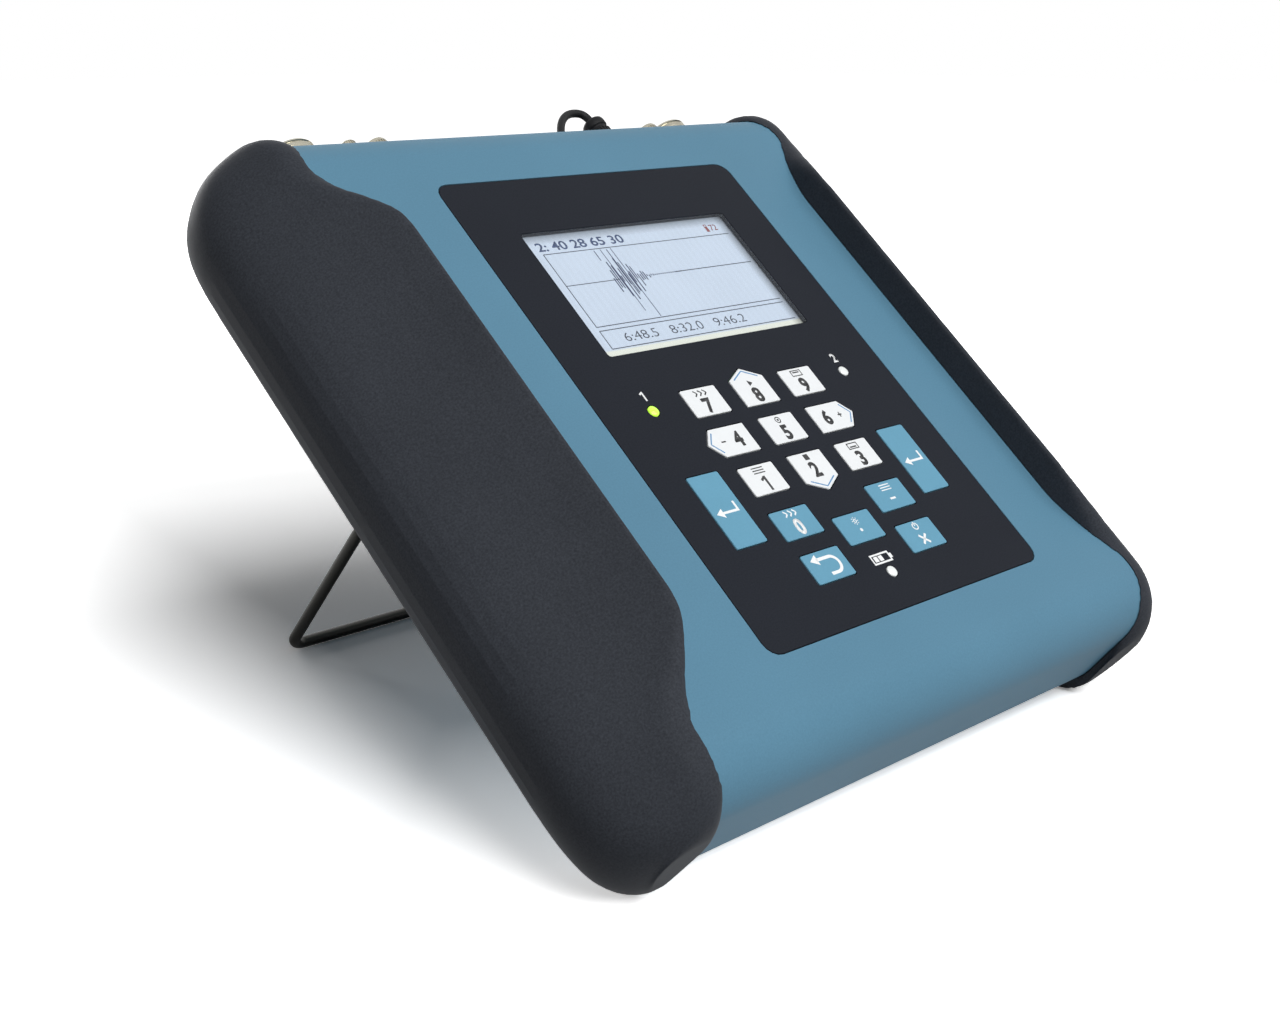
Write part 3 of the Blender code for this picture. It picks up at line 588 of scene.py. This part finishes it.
# anchor of the strap: a low round foot
anchorSet = {"place": (0.0250, topEdge, -0.0200)}
anchorShape = [(0, stemFoot), (1.4, stemFoot), (1.4, seat), (2.8, seat), (3.0, 0.5), (3.0, 1.0), (2.8, 1.4),
               (2.3, 1.7), (0, 1.7)]
anchor = smoothBy(turnPiece(anchorShape, anchorSet["place"], 40), 34)
settle(anchor, "strapFoot", "housing", "darkPlastic", "dark_plastic", ["strap_anchor"])

# strap: one moulded cord from the foot over to the cap
strapSet = {"thick": 0.00125, "deep": -0.0200, "alongSteps": 28, "roundSteps": 6,
            "foot": (0.0250, 0.0018), "footHandles": ((0.0250, 0.0), (0.0250, 0.00865)),
            "crown": (0.03906, 0.01877), "crownHandles": ((0.03203, 0.0188), (0.04206, 0.0188)),
            "end": (0.0435, 0.0143), "endHandles": ((0.0435, 0.0180), (0.0435, 0.0120))}


def strapAt(spot):
    return Vector((spot[0], topEdge + spot[1], strapSet["deep"]))


deselect()
bpy.ops.curve.primitive_bezier_curve_add()
strap = bpy.context.object
setMode("EDIT")
bpy.ops.curve.select_all(action="SELECT")
bpy.ops.curve.subdivide(number_cuts=1)
setMode("OBJECT")
for point, name in zip(strap.data.splines[0].bezier_points, ("foot", "crown", "end")):
    before, after = strapSet[name + "Handles"]
    point.handle_left_type = point.handle_right_type = "FREE"
    point.co, point.handle_left, point.handle_right = strapAt(strapSet[name]), strapAt(before), strapAt(after)
strap.data.resolution_u = strapSet["alongSteps"]
strap.data.bevel_depth = strapSet["thick"]
strap.data.bevel_resolution = strapSet["roundSteps"]
strap.data.use_fill_caps = True
pick(strap)
bpy.ops.object.convert(target="MESH")
strap = bpy.context.object
editAll(strap)
closeEdit(strap)
settle(smoothBy(strap, 50), "capStrap", None, "dustRubber", "dust_rubber", ["dust_cap_strap"])
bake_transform(strap)
print("sockets, dust cap and strap built")

# bail: one round rod, drawn along its route by extruding straights and spinning bends
bailSet = {"wire": 0.0018, "pin": 0.04025, "half": 0.04925, "bend": 0.0040, "footBend": 0.0050, "reach": 0.11679,
           "corners": 24, "bendSteps": 10, "turn": -math.pi / 2}
bailY, pivotZ = bailPin["up"], bailPin["out"]
footZ = pivotZ - bailSet["reach"]
inBend, inFoot = bailSet["half"] - bailSet["bend"], bailSet["half"] - bailSet["footBend"]
topBendZ, footBendZ = pivotZ - bailSet["bend"], footZ + bailSet["footBend"]


def drawOut(x, z):
    bpy.ops.mesh.extrude_region_move(TRANSFORM_OT_translate={"value": (x, 0, z)})


def bendRound(x, z):
    bpy.ops.mesh.spin(steps=bailSet["bendSteps"], angle=bailSet["turn"], center=(x, bailY, z), axis=(0, 1, 0))


deselect()
bpy.ops.mesh.primitive_circle_add(vertices=bailSet["corners"], radius=bailSet["wire"], fill_type="NGON",
                                  location=(bailSet["pin"], bailY, pivotZ), rotation=(0, math.pi / 2, 0))
rod = bpy.context.object
bpy.ops.object.transform_apply(location=True, rotation=True)
setMode("EDIT")
selectAll()
drawOut(inBend - bailSet["pin"], 0)
bendRound(inBend, topBendZ)
drawOut(0, footBendZ - topBendZ)
bendRound(inFoot, footBendZ)
drawOut(-2 * inFoot, 0)
bendRound(-inFoot, footBendZ)
drawOut(0, topBendZ - footBendZ)
bendRound(-inBend, topBendZ)
drawOut(inBend - bailSet["pin"], 0)
closeEdit(rod)
print("bail rod spans", [round(v, 4) for v in rod.dimensions])
settle(smoothBy(rod, 40), "bailRod", "bail", "bailSteel", "bail_metal", ["bail"])

# clip screws: low round heads with a cross recess, two on each clip
screwSet = {"x": 0.04185, "y": (0.0392, 0.0512), "base": -0.0485, "tall": 0.0009, "slot": 0.00045, "long": 0.0022,
            "deep": 0.0005}
headShape = [(0, 0), (1.9, 0), (1.9, -0.3), (1.7, -0.6), (1.3, -0.8), (0.8, -0.9), (0, -0.9)]
screwX, (lowY, highY) = screwSet["x"], screwSet["y"]
head = turnPiece(headShape, (screwX, lowY, screwSet["base"]), 36, "z")
cutters = []
for size in ((screwSet["long"], screwSet["slot"]), (screwSet["slot"], screwSet["long"])):
    deselect()
    bpy.ops.mesh.primitive_cube_add(size=1.0, location=(screwX, lowY, screwSet["base"] - screwSet["tall"]))
    bar = bpy.context.object
    bar.scale = (*size, 2 * screwSet["deep"])
    bpy.ops.object.transform_apply(location=True, scale=True)
    cutters.append(bar)
for bar in cutters:
    recess = head.modifiers.new("recess", "BOOLEAN")
    recess.operation = "DIFFERENCE"
    recess.solver = "EXACT"
    recess.object = bar
applyModifiers(head)
for bar in cutters:
    bpy.data.objects.remove(bar, do_unlink=True)
spots = {"rightLow": Vector((screwX, lowY, 0)), "rightHigh": Vector((screwX, highY, 0)),
         "leftLow": Vector((-screwX, lowY, 0)), "leftHigh": Vector((-screwX, highY, 0))}
settleAt(smoothBy(head, 30), spots, "clipScrew_", "bailSteel", "bail_metal")
print("bail and clip screws built")

# lamps: clear domes over a short round body
lampShape = [(0, -1.5), (1.6, -1.5), (1.6, 0), (1.55, 0.11), (1.39, 0.20), (1.13, 0.28), (0.8, 0.35), (0.41, 0.39),
             (0, 0.4)]
domeSet = {"channel_a": ((-0.0382, -0.0046), "lampGreen", "lamp_lit"),
           "channel_b": ((0.0382, -0.0046), "lampWhite", "lamp_clear"),
           "battery": ((0.0, -0.0661), "lampWhite", "lamp_clear")}
spots = {name: Vector((*at, 0.0)) for name, (at, _, _) in domeSet.items()}
dome = smoothBy(turnPiece(lampShape, spots["channel_a"], 40, "z"), 45)
for name, obj in copiesAt(dome, spots).items():
    settle(obj, "lampDome_" + name, "housing", *domeSet[name][1:], ["lamp_" + name])
print("lamps built")

# flat marks for the keys, the foil and the display
inkSet = {"thick": 0.00004, "figureShare": 0.73, "curveSteps": 6, "merge": 0.000002, "flatten": 1}


def flatPlane(centre, size, high, turn=0.0):
    deselect()
    bpy.ops.mesh.primitive_plane_add(size=1.0, location=(*centre, high))
    plane = bpy.context.object
    plane.scale = (*size, 1.0)
    plane.rotation_euler = (0, 0, turn)
    bpy.ops.object.transform_apply(location=True, rotation=True, scale=True)
    return plane


def flatBar(start, end, width, high):
    a, b = Vector(start), Vector(end)
    run = b - a
    return flatPlane((a + b) / 2, (max(run.length, width / 2), width), high, math.atan2(run.y, run.x))


def hollowed(obj, line):
    editAll(obj)
    bpy.ops.mesh.inset(thickness=line)
    bpy.ops.mesh.delete(type="FACE")
    setMode("OBJECT")
    return obj


def flatFrame(centre, size, line, high):
    return hollowed(flatPlane(centre, size, high), line)


def flatDisc(centre, radius, high, corners=24, turn=0.0, hollow=0.0):
    deselect()
    bpy.ops.mesh.primitive_circle_add(vertices=corners, radius=radius, fill_type="NGON",
                                      location=(*centre, high), rotation=(0, 0, turn))
    disc = bpy.context.object
    bpy.ops.object.transform_apply(location=True, rotation=True)
    return hollowed(disc, hollow) if hollow else disc


def flatText(words, centre, tall, high, bold=0.0, wide=1.0):
    deselect()
    bpy.ops.object.text_add(location=(*centre, high))
    text = bpy.context.object
    text.data.body = words
    text.data.size = tall / inkSet["figureShare"]
    text.data.offset = bold
    text.data.align_x = "CENTER"
    text.data.align_y = "CENTER"
    text.data.resolution_u = inkSet["curveSteps"]
    text.scale = (wide, 1.0, 1.0)
    bpy.ops.object.convert(target="MESH")
    text = bpy.context.object
    bpy.ops.object.transform_apply(location=True, scale=True)
    # the outline is centred by its own box, so numerals sit where they are asked for
    low = Vector([min(v.co[i] for v in text.data.vertices) for i in range(2)])
    top = Vector([max(v.co[i] for v in text.data.vertices) for i in range(2)])
    text.location = (*(Vector(centre) - (low + top) / 2), 0.0)
    bpy.ops.object.transform_apply(location=True)
    editAll(text)
    bpy.ops.mesh.remove_doubles(threshold=inkSet["merge"])
    bpy.ops.mesh.dissolve_limited(angle_limit=math.radians(inkSet["flatten"]))
    setMode("OBJECT")
    return text


# shares of the figure's height, and for the flag's drop and line of its stroke
figureOne = {"stroke": 0.17, "shift": 0.08, "flagDrop": 0.62, "flagRun": (0.24, 0.16), "flagLine": 0.9}


def figure(words, centre, tall, high, bold, wide=1.0):
    # the font's figure one is a bare stroke, so it is drawn here with its flag
    if words != "1":
        return [flatText(words, centre, tall, high, bold, wide)]
    stroke = figureOne["stroke"] * tall
    x, y, half = centre[0] + figureOne["shift"] * tall, centre[1], tall / 2
    flagX, flagY = x - stroke / 2, y + half - figureOne["flagDrop"] * stroke
    runX, runY = (share * tall for share in figureOne["flagRun"])
    return [flatBar((x, y - half), (x, y + half), stroke, high),
            flatBar((flagX, flagY), (flagX - runX, flagY - runY), stroke * figureOne["flagLine"], high)]


def printed(marks, name, body, finish, slot):
    sheet = joined(marks)
    facesOut(sheet)
    facing = sum(face.normal.z * face.area for face in sheet.data.polygons)
    solid = sheet.modifiers.new("ink", "SOLIDIFY")
    solid.thickness = inkSet["thick"]
    solid.offset = 1.0 if facing > 0 else -1.0
    applyModifiers(sheet)
    facesOut(sheet)
    return settle(sheet, name, body, finish, slot)


keypad = {"pitchX": 0.01935, "pitchY": 0.0131, "topRow": -0.0050, "blueDrop": 0.0143, "bluePitch": 0.0136,
          "width": 0.0131, "height": 0.0089, "point": 0.0034, "top": 0.00021, "enter": (0.0381, -0.0368)}


def whiteSpot(column, row):
    return Vector((column * keypad["pitchX"], keypad["topRow"] - row * keypad["pitchY"]))


def blueSpot(column, row):
    drop = keypad["topRow"] - 2 * keypad["pitchY"] - keypad["blueDrop"]
    return Vector((column * keypad["pitchX"], drop - row * keypad["bluePitch"]))


# each key: its place, its mark and shift, the small sign with its shift, and the way a pointed key points
numeral = {"tall": 0.0046, "bold": 0.00026, "low": (0, -0.0015), "wide": 0.92}
enterX, enterY = keypad["enter"]
low = numeral["low"]
keyMarks = {
    "key_7": (whiteSpot(-1, 0), "7", low, "arrows", (0, 0.0027)),
    "key_8": (whiteSpot(0, 0), "8", (0, -0.0014), "play", (0, 0.0026), (0, 1)),
    "key_9": (whiteSpot(1, 0), "9", low, "upper", (0, 0.0027)),
    "key_4": (whiteSpot(-1, 1), "4", (0.0013, 0), "minus", (-0.0042, 0), (-1, 0)),
    "key_5": (whiteSpot(0, 1), "5", low, "ring", (0, 0.0027)),
    "key_6": (whiteSpot(1, 1), "6", (-0.0013, 0), "plus", (0.0042, 0), (1, 0)),
    "key_1": (whiteSpot(-1, 2), "1", low, "lanes", (0, 0.0027)),
    "key_2": (whiteSpot(0, 2), "2", (0, -0.0012), "stop", (0, 0.0029), (0, -1)),
    "key_3": (whiteSpot(1, 2), "3", low, "lower", (0, 0.0027)),
    "key_0": (blueSpot(-1, 0), "0", (0, -0.0013), "arrows", (0, 0.0029)),
    "key_minus": (blueSpot(1, 0), "-", (0, -0.0012), "lanes", (0, 0.0025)),
    "key_point": (blueSpot(0, 0.46), ".", (0, -0.0010), "sun", (0, 0.0019)),
    "key_clear": (blueSpot(1, 1), "x", (0, -0.0015), "power", (0, 0.0027)),
    "key_back": (blueSpot(-1, 1), None, (0, 0), "back", (0, 0)),
    "key_enter_left": (Vector((-enterX, enterY)), None, (0, 0), "enter", (0, 0)),
    "key_enter_right": (Vector((enterX, enterY)), None, (0, 0), "enter", (0, 0)),
}
markSet = {"-": {"half": 0.0011, "line": 0.0006}, "x": {"half": 0.0014, "line": 0.0007},
           ".": {"radius": 0.0005, "corners": 20}}
signSet = {
    "line": 0.00042, "arm": 0.0008,
    "arrows": {"step": 0.0017, "half": 0.0005, "tall": 0.0009},
    "play": {"radius": 0.0011, "corners": 3, "turn": -math.pi / 2},
    "stop": {"radius": 0.0013, "corners": 4, "turn": math.pi / 4},
    "box": {"size": (0.0042, 0.0021), "line": 0.00028, "half": 0.0013, "rise": 0.0003},
    "ring": {"radius": 0.00105, "line": 0.00032, "corners": 28, "dot": 0.00036, "dotCorners": 16},
    "lanes": {"half": 0.0021, "step": 0.0008, "line": 0.0003},
    "sun": {"radius": 0.00058, "line": 0.00024, "corners": 24, "rays": 8, "inner": 0.00082, "outer": 0.00122},
    "power": {"radius": 0.00115, "line": 0.00034, "corners": 32, "gap": 0.0004, "stroke": (0.0001, 0.0014)},
    "enter": {"line": 0.0007, "post": (0.0034, 0.0019, 0.0034, -0.00045),
              "run": (0.00375, -0.0008, -0.0020, -0.0008), "tip": (-0.0027, -0.0008), "tipSize": 0.0016},
    "back": {"line": 0.0009, "middle": (0.0018, -0.0002), "radius": 0.0028, "corners": 40,
             "upper": (0.0018, 0.00215, -0.0028, 0.00215), "lower": (0.0018, -0.00255, -0.0008, -0.00255),
             "tip": (-0.0034, 0.00215), "tipSize": 0.0018},
}
chevronSet = {"inset": 0.0009, "share": 0.72, "line": 0.00036}


def keyMark(kind, spot, high):
    look = markSet.get(kind)
    if look is None:
        return figure(kind, spot, numeral["tall"], high, numeral["bold"], numeral["wide"])
    if kind == ".":
        return [flatDisc(spot, look["radius"], high, look["corners"])]
    half = look["half"]
    slants = ((half, half), (half, -half)) if kind == "x" else ((half, 0),)
    return [flatBar(spot - Vector(slant), spot + Vector(slant), look["line"], high) for slant in slants]


def signMarks(kind, at, high):
    x, y = at
    look = signSet.get(kind, signSet)
    line, arm = look.get("line", signSet["line"]), signSet["arm"]

    def bar(x0, y0, x1, y1):
        return flatBar((x + x0, y + y0), (x + x1, y + y1), line, high)

    if kind == "arrows":
        half, tall, found = look["half"], look["tall"], []
        for step in (-look["step"], 0.0, look["step"]):
            found += [bar(step - half, tall, step + half, 0.0), bar(step + half, 0.0, step - half, -tall)]
        return found
    if kind in ("play", "stop"):
        return [flatDisc(at, look["radius"], high, look["corners"], look["turn"])]
    if kind in ("upper", "lower"):
        box = signSet["box"]
        rise = box["rise"] if kind == "upper" else -box["rise"]
        return [flatFrame(at, box["size"], box["line"], high), bar(-box["half"], rise, box["half"], rise)]
    if kind == "minus":
        return [bar(-arm, 0, arm, 0)]
    if kind == "plus":
        return [bar(-arm, 0, arm, 0), bar(0, -arm, 0, -line / 2), bar(0, line / 2, 0, arm)]
    if kind == "lanes":
        return [bar(-look["half"], step, look["half"], step) for step in (-look["step"], 0.0, look["step"])]
    if kind == "enter":
        tip = at + Vector(look["tip"])
        return [bar(*look["post"]), bar(*look["run"]), flatDisc(tip, look["tipSize"], high, 3, math.pi / 2)]
    # the others start from a ring
    middle = at + Vector(look.get("middle", (0, 0)))
    ring = flatDisc(middle, look["radius"], high, look["corners"], 0, line)
    found = [ring]
    if kind == "ring":
        found.append(flatDisc(at, look["dot"], high, look["dotCorners"]))
    elif kind == "sun":
        for turn in range(look["rays"]):
            angle = math.tau * turn / look["rays"]
            ray = Vector((math.cos(angle), math.sin(angle)))
            found.append(bar(*(ray * look["inner"]), *(ray * look["outer"])))
    elif kind == "power":
        pickParts(ring, "FACE", [face.index for face in ring.data.polygons
                                 if abs(face.center.x - x) < look["gap"] and face.center.y > y])
        bpy.ops.mesh.delete(type="FACE")
        bpy.ops.mesh.select_mode(type="VERT")
        setMode("OBJECT")
        found.append(bar(0, look["stroke"][0], 0, look["stroke"][1]))
    else:
        # the return arrow: a half ring to the right, two runs and a head on the upper one
        editAll(ring)
        bpy.ops.mesh.bisect(plane_co=(*middle, high), plane_no=(1, 0, 0), clear_inner=True)
        setMode("OBJECT")
        tip = at + Vector(look["tip"])
        found += [bar(*look["upper"]), bar(*look["lower"]), flatDisc(tip, look["tipSize"], high, 3, math.pi / 2)]
    return found


def chevron(at, tip, high):
    # two thin lines follow the slanted sides of a pointed key
    way = Vector(tip)
    across = Vector((-way.y, way.x))
    half = keypad["height"] / 2 if way.x else keypad["width"] / 2
    base = keypad["width"] / 2 if way.x else keypad["height"] / 2
    back = chevronSet["inset"] * Vector((keypad["point"], half)).length / half
    nose = at + way * (base + keypad["point"] - back)
    share = chevronSet["share"]
    ends = [nose - way * keypad["point"] * share + across * half * share * turn for turn in (1, -1)]
    return [flatBar(nose, end, chevronSet["line"], high) for end in ends]


for keyName, (at, mark, shift, sign, signShift, *tips) in keyMarks.items():
    high, white = keypad["top"], isWhiteKey(keyName)
    marks = keyMark(mark, at + Vector(shift), high) if mark else []
    marks += signMarks(sign, at + Vector(signShift), high)
    printed(marks, keyName.replace("key_", "keyMark_"), keyName, "inkBlack" if white else "inkWhite",
            "key_white" if white else "key_blue")
    for tip in tips:
        printed(chevron(at, tip, high), keyName.replace("key_", "keyChevron_"), keyName, "inkBlue", "key_white")
print("key marks printed")

# foil marks: a numeral above each channel lamp and a cell above the battery lamp
foilMarks = {"lampX": 0.0382, "figureY": 0.0002, "tall": 0.0030, "bold": 0.00014, "high": 0.00001,
             "cell": (-0.0005, -0.0618), "cellSize": (0.0074, 0.0031), "cellLine": 0.0005,
             "cellBars": ((0.0037, 0.0044, 0.0014), (-0.0027, -0.0012, 0.0016), (-0.0008, 0.0007, 0.0016))}
high, cell = foilMarks["high"], Vector(foilMarks["cell"])
marks = []
for words, x in (("1", -foilMarks["lampX"]), ("2", foilMarks["lampX"])):
    marks += figure(words, (x, foilMarks["figureY"]), foilMarks["tall"], high, foilMarks["bold"])
marks.append(flatFrame(cell, foilMarks["cellSize"], foilMarks["cellLine"], high))
for start, end, width in foilMarks["cellBars"]:
    marks.append(flatBar(cell + Vector((start, 0)), cell + Vector((end, 0)), width, high))
printed(marks, "foilMarks", "housing", "inkWhite", "panel_foil")
print("foil marks printed")

# display: a frame, an axis, one pulse train and plain readings
lcd = {"width": 0.0787, "height": 0.043, "centreY": 0.0357, "high": -0.00179, "left": 0.0046, "right": 0.0777,
       "head": 0.0062, "axis": 0.0176, "axisGap": (0.0255, 0.0460), "foot": (0.0322, 0.0336), "base": 0.0398,
       "line": 0.00026}
readings = {"foot": ("6:48.5   8:32.0   9:46.2", (0.0350, 0.0367), 0.0031, -0.00003, 1.25),
            "head": ("2: 40 28 65 30", (0.0200, 0.0036), 0.0031, 0.00006, 1.3),
            "charge": ("72", (0.0733, 0.0034), 0.0023, 0.0, 1.0)}    # words, place, height, boldness and width
chargeCell = {"at": (0.0705, 0.0034), "size": (0.0012, 0.0028), "level": (0.0028, 0.0046), "levelLine": 0.0006}


def lcdSpot(across, down):
    return (-lcd["width"] / 2 + across, lcd["centreY"] + lcd["height"] / 2 - down)


def lcdLine(across0, down0, across1, down1, width=lcd["line"]):
    return flatBar(lcdSpot(across0, down0), lcdSpot(across1, down1), width, lcd["high"])


def lcdText(name):
    words, at, tall, bold, wide = readings[name]
    return flatText(words, lcdSpot(*at), tall, lcd["high"], bold, wide)


left, edge, head, axis, base = (lcd[key] for key in ("left", "right", "head", "axis", "base"))
footTop, footLow = lcd["foot"]
gapStart, gapEnd = lcd["axisGap"]
marks = [lcdLine(left, head, edge, head), lcdLine(left, axis, gapStart, axis), lcdLine(gapEnd, axis, edge, axis),
         lcdLine(left, head, left, footTop)]
marks += [lcdLine(left, down, edge, down) for down in (footTop, footLow, base)]
marks += [lcdLine(left, footLow, left, base), lcdText("foot")]
printed(marks, "lcdLines", "housing", "lcdInk", "display")

# the pulse: a burst of strokes that swells and dies away along the axis, with a few tall ones
pulse = {"start": 0.0224, "step": 0.00078, "count": 34, "line": 0.00036, "tall": 0.0072, "least": 0.0002,
         "peak": 0.16, "spread": 0.22, "tail": 0.10, "upLeast": 0.12, "upBeat": 2.39, "lowLeast": 0.10,
         "lowBeat": 1.83, "lowLag": 0.4, "sharp": 1.6, "longLine": 0.00026,
         "longs": ((0.0226, 0.0068, 0.0105), (0.0251, 0.0066, 0.0292), (0.0273, 0.0068, 0.0236),
                   (0.0290, 0.0066, 0.0318))}
strokes = []
for i in range(pulse["count"]):
    share = i / pulse["count"]
    swell = math.exp(-((share - pulse["peak"]) / pulse["spread"]) ** 2) + pulse["tail"] * (1 - share) ** 2
    upBeat = abs(math.sin(i * pulse["upBeat"])) ** pulse["sharp"]
    lowBeat = abs(math.cos(i * pulse["lowBeat"] + pulse["lowLag"])) ** pulse["sharp"]
    up = pulse["tall"] * swell * (pulse["upLeast"] + (1 - pulse["upLeast"]) * upBeat)
    down = pulse["tall"] * swell * (pulse["lowLeast"] + (1 - pulse["lowLeast"]) * lowBeat)
    x = pulse["start"] + i * pulse["step"]
    strokes.append(lcdLine(x, axis - max(up, pulse["least"]), x, axis + max(down, pulse["least"]), pulse["line"]))
strokes += [lcdLine(x, top, x, foot, pulse["longLine"]) for x, top, foot in pulse["longs"]]
printed(strokes, "lcdPulse", "housing", "lcdNavy", "display")
printed([lcdText("head")], "lcdHeading", "housing", "lcdBlue", "display")
cellX, (levelTop, levelFoot) = chargeCell["at"][0], chargeCell["level"]
marks = [flatFrame(lcdSpot(*chargeCell["at"]), chargeCell["size"], lcd["line"], lcd["high"]),
         lcdLine(cellX, levelTop, cellX, levelFoot, chargeCell["levelLine"]), lcdText("charge")]
printed(marks, "lcdCharge", "housing", "lcdRed", "display")
print("display drawn")

# camera, placed in the flat meter's own directions and leaned with it
cameraSet = {"place": (-0.3555, -0.1755, 0.2670), "right": (0.6968, -0.5446, 0.4667),
             "down": (-0.1828, -0.7641, -0.6187), "lens": 50.6, "sensor": 36.0, "near": 0.01}
right = Vector(cameraSet["right"]).normalized()
above = -Vector(cameraSet["down"])
above = (above - right * above.dot(right)).normalized()
stand = Matrix.Identity(4)
for column, axis in enumerate((right, above, right.cross(above))):
    stand.col[column] = (*axis, 0.0)
stand.col[3] = (*cameraSet["place"], 1.0)
deselect()
bpy.ops.object.camera_add()
camera = bpy.context.object
camera.data.lens = cameraSet["lens"]
camera.data.sensor_width = cameraSet["sensor"]
camera.data.clip_start = cameraSet["near"]
camera.matrix_world = lean @ stand
scene.camera = camera


def lightPaths(tree):
    path = tree.nodes.new("ShaderNodeLightPath")
    eye = path.outputs["Is Camera Ray"]
    mirrored = addMath(tree, "MAXIMUM", path.outputs["Is Glossy Ray"], path.outputs["Is Transmission Ray"])
    return eye, mirrored, addMath(tree, "MAXIMUM", eye, mirrored)


# floor: a sheet of paper that takes the shadow, with a soft glow that whitens it away from the meter; near the meter
# it also carries a painted shadow behind it and painted light in front and to the left
floorSet = {"size": 12.0, "sunk": 0.0002, "seenTone": 1.85, "glossTone": 0.65, "bounceTone": 0.45,
            "core": (0.0, 0.13), "paintedShadowSpan": (0.05, 0.165), "paintedShadowTone": 0.69,
            "middle": (-0.02, 0.08), "farSpan": (0.24, 0.60), "farLift": 1.00,
            "frontWay": (-0.45, -0.89), "frontSpan": (0.0, 0.10), "frontLift": 0.45,
            "leftWay": (-1.0, 0.22), "leftSpan": (0.060, 0.150), "leftLift": 0.62}
deselect()
bpy.ops.mesh.primitive_plane_add(size=floorSet["size"], location=(0, 0, -floorSet["sunk"]))
floor = bpy.context.object
floor.name = "studioFloor"
paper = bpy.data.materials.new("studioPaper")
paper.use_nodes = True
tree = paper.node_tree
tree.nodes.remove(tree.nodes["Principled BSDF"])
sheet = tree.nodes.new("ShaderNodeBsdfDiffuse")
glow = tree.nodes.new("ShaderNodeEmission")
both = tree.nodes.new("ShaderNodeAddShader")
tree.links.new(sheet.outputs["BSDF"], both.inputs[0])
tree.links.new(glow.outputs["Emission"], both.inputs[1])
tree.links.new(both.outputs["Shader"], tree.nodes["Material Output"].inputs["Surface"])
eye, mirrored, seen = lightPaths(tree)
coords = tree.nodes.new("ShaderNodeTexCoord")


def floorMeasure(kind, point):
    measure = tree.nodes.new("ShaderNodeVectorMath")
    measure.operation = kind
    measure.inputs[1].default_value = (*point, 0.0)
    tree.links.new(coords.outputs["Object"], measure.inputs[0])
    return measure.outputs["Value"]


def floorLift(kind, point, name):
    return addRange(tree, floorMeasure(kind, floorSet[point]), *floorSet[name + "Span"], 0.0, floorSet[name + "Lift"])


# the paper is brighter than white to the camera, as in the photograph, and darker in reflections and bounced light
# painted shadow: the paper's tone drops towards a core under and behind the meter, darkening its shadow there
core = addRange(tree, floorMeasure("DISTANCE", floorSet["core"]), *floorSet["paintedShadowSpan"], floorSet["paintedShadowTone"], 1.0)
eyeTone = addMath(tree, "MULTIPLY", core, floorSet["seenTone"])
eyeTone = addMath(tree, "MULTIPLY", eyeTone, eye)
mirrorTone = addMath(tree, "MULTIPLY", mirrored, floorSet["glossTone"] - floorSet["bounceTone"])
bounceTone = addRange(tree, eye, 0.0, 1.0, floorSet["bounceTone"], 0.0)
tone = addMath(tree, "ADD", addMath(tree, "ADD", eyeTone, mirrorTone), bounceTone)
tree.links.new(tone, sheet.inputs["Color"])
# painted light: besides whitening the far paper evenly, the glow lifts the paper in front of and to the left of the
# meter, washing out its shadow there
lift = addMath(tree, "MAXIMUM", floorLift("DISTANCE", "middle", "far"), floorLift("DOT_PRODUCT", "frontWay", "front"))
lift = addMath(tree, "MAXIMUM", lift, floorLift("DOT_PRODUCT", "leftWay", "left"))
tree.links.new(addMath(tree, "MULTIPLY", seen, lift), glow.inputs["Strength"])
floor.data.materials.append(paper)

# world: white to the eye and in reflections, and a low light on the meter
worldSet = {"light": 0.08}
world = bpy.data.worlds.new("studioWorld")
scene.world = world
world.use_nodes = True
tree = world.node_tree
sky = tree.nodes["Background"]
sky.inputs["Color"].default_value = (1, 1, 1, 1)
seen = lightPaths(tree)[2]
tree.links.new(addRange(tree, seen, 0.0, 1.0, worldSet["light"], 1.0), sky.inputs["Strength"])

lampSet = {
    "frontSoftbox": {"place": (-0.40, -1.38, 1.28), "size": (1.1, 1.1), "power": 30.0},
    "rightSoftbox": {"place": (0.62, -0.80, 1.05), "size": (0.7, 0.7), "power": 4.0},
    "backSoftbox": {"place": (0.15, 1.70, 0.42), "size": (1.0, 0.6), "power": 7.0},
}
lampAim = Vector((0, 0, 0.07))
for lampName, look in lampSet.items():
    deselect()
    bpy.ops.object.light_add(type="AREA", location=look["place"])
    lamp = bpy.context.object
    lamp.name = lampName
    lamp.data.shape = "RECTANGLE"
    lamp.data.size, lamp.data.size_y = look["size"]
    lamp.data.energy = look["power"]
    lamp.rotation_euler = (lampAim - Vector(look["place"])).to_track_quat("-Z", "Y").to_euler()
print("camera, floor and light set")
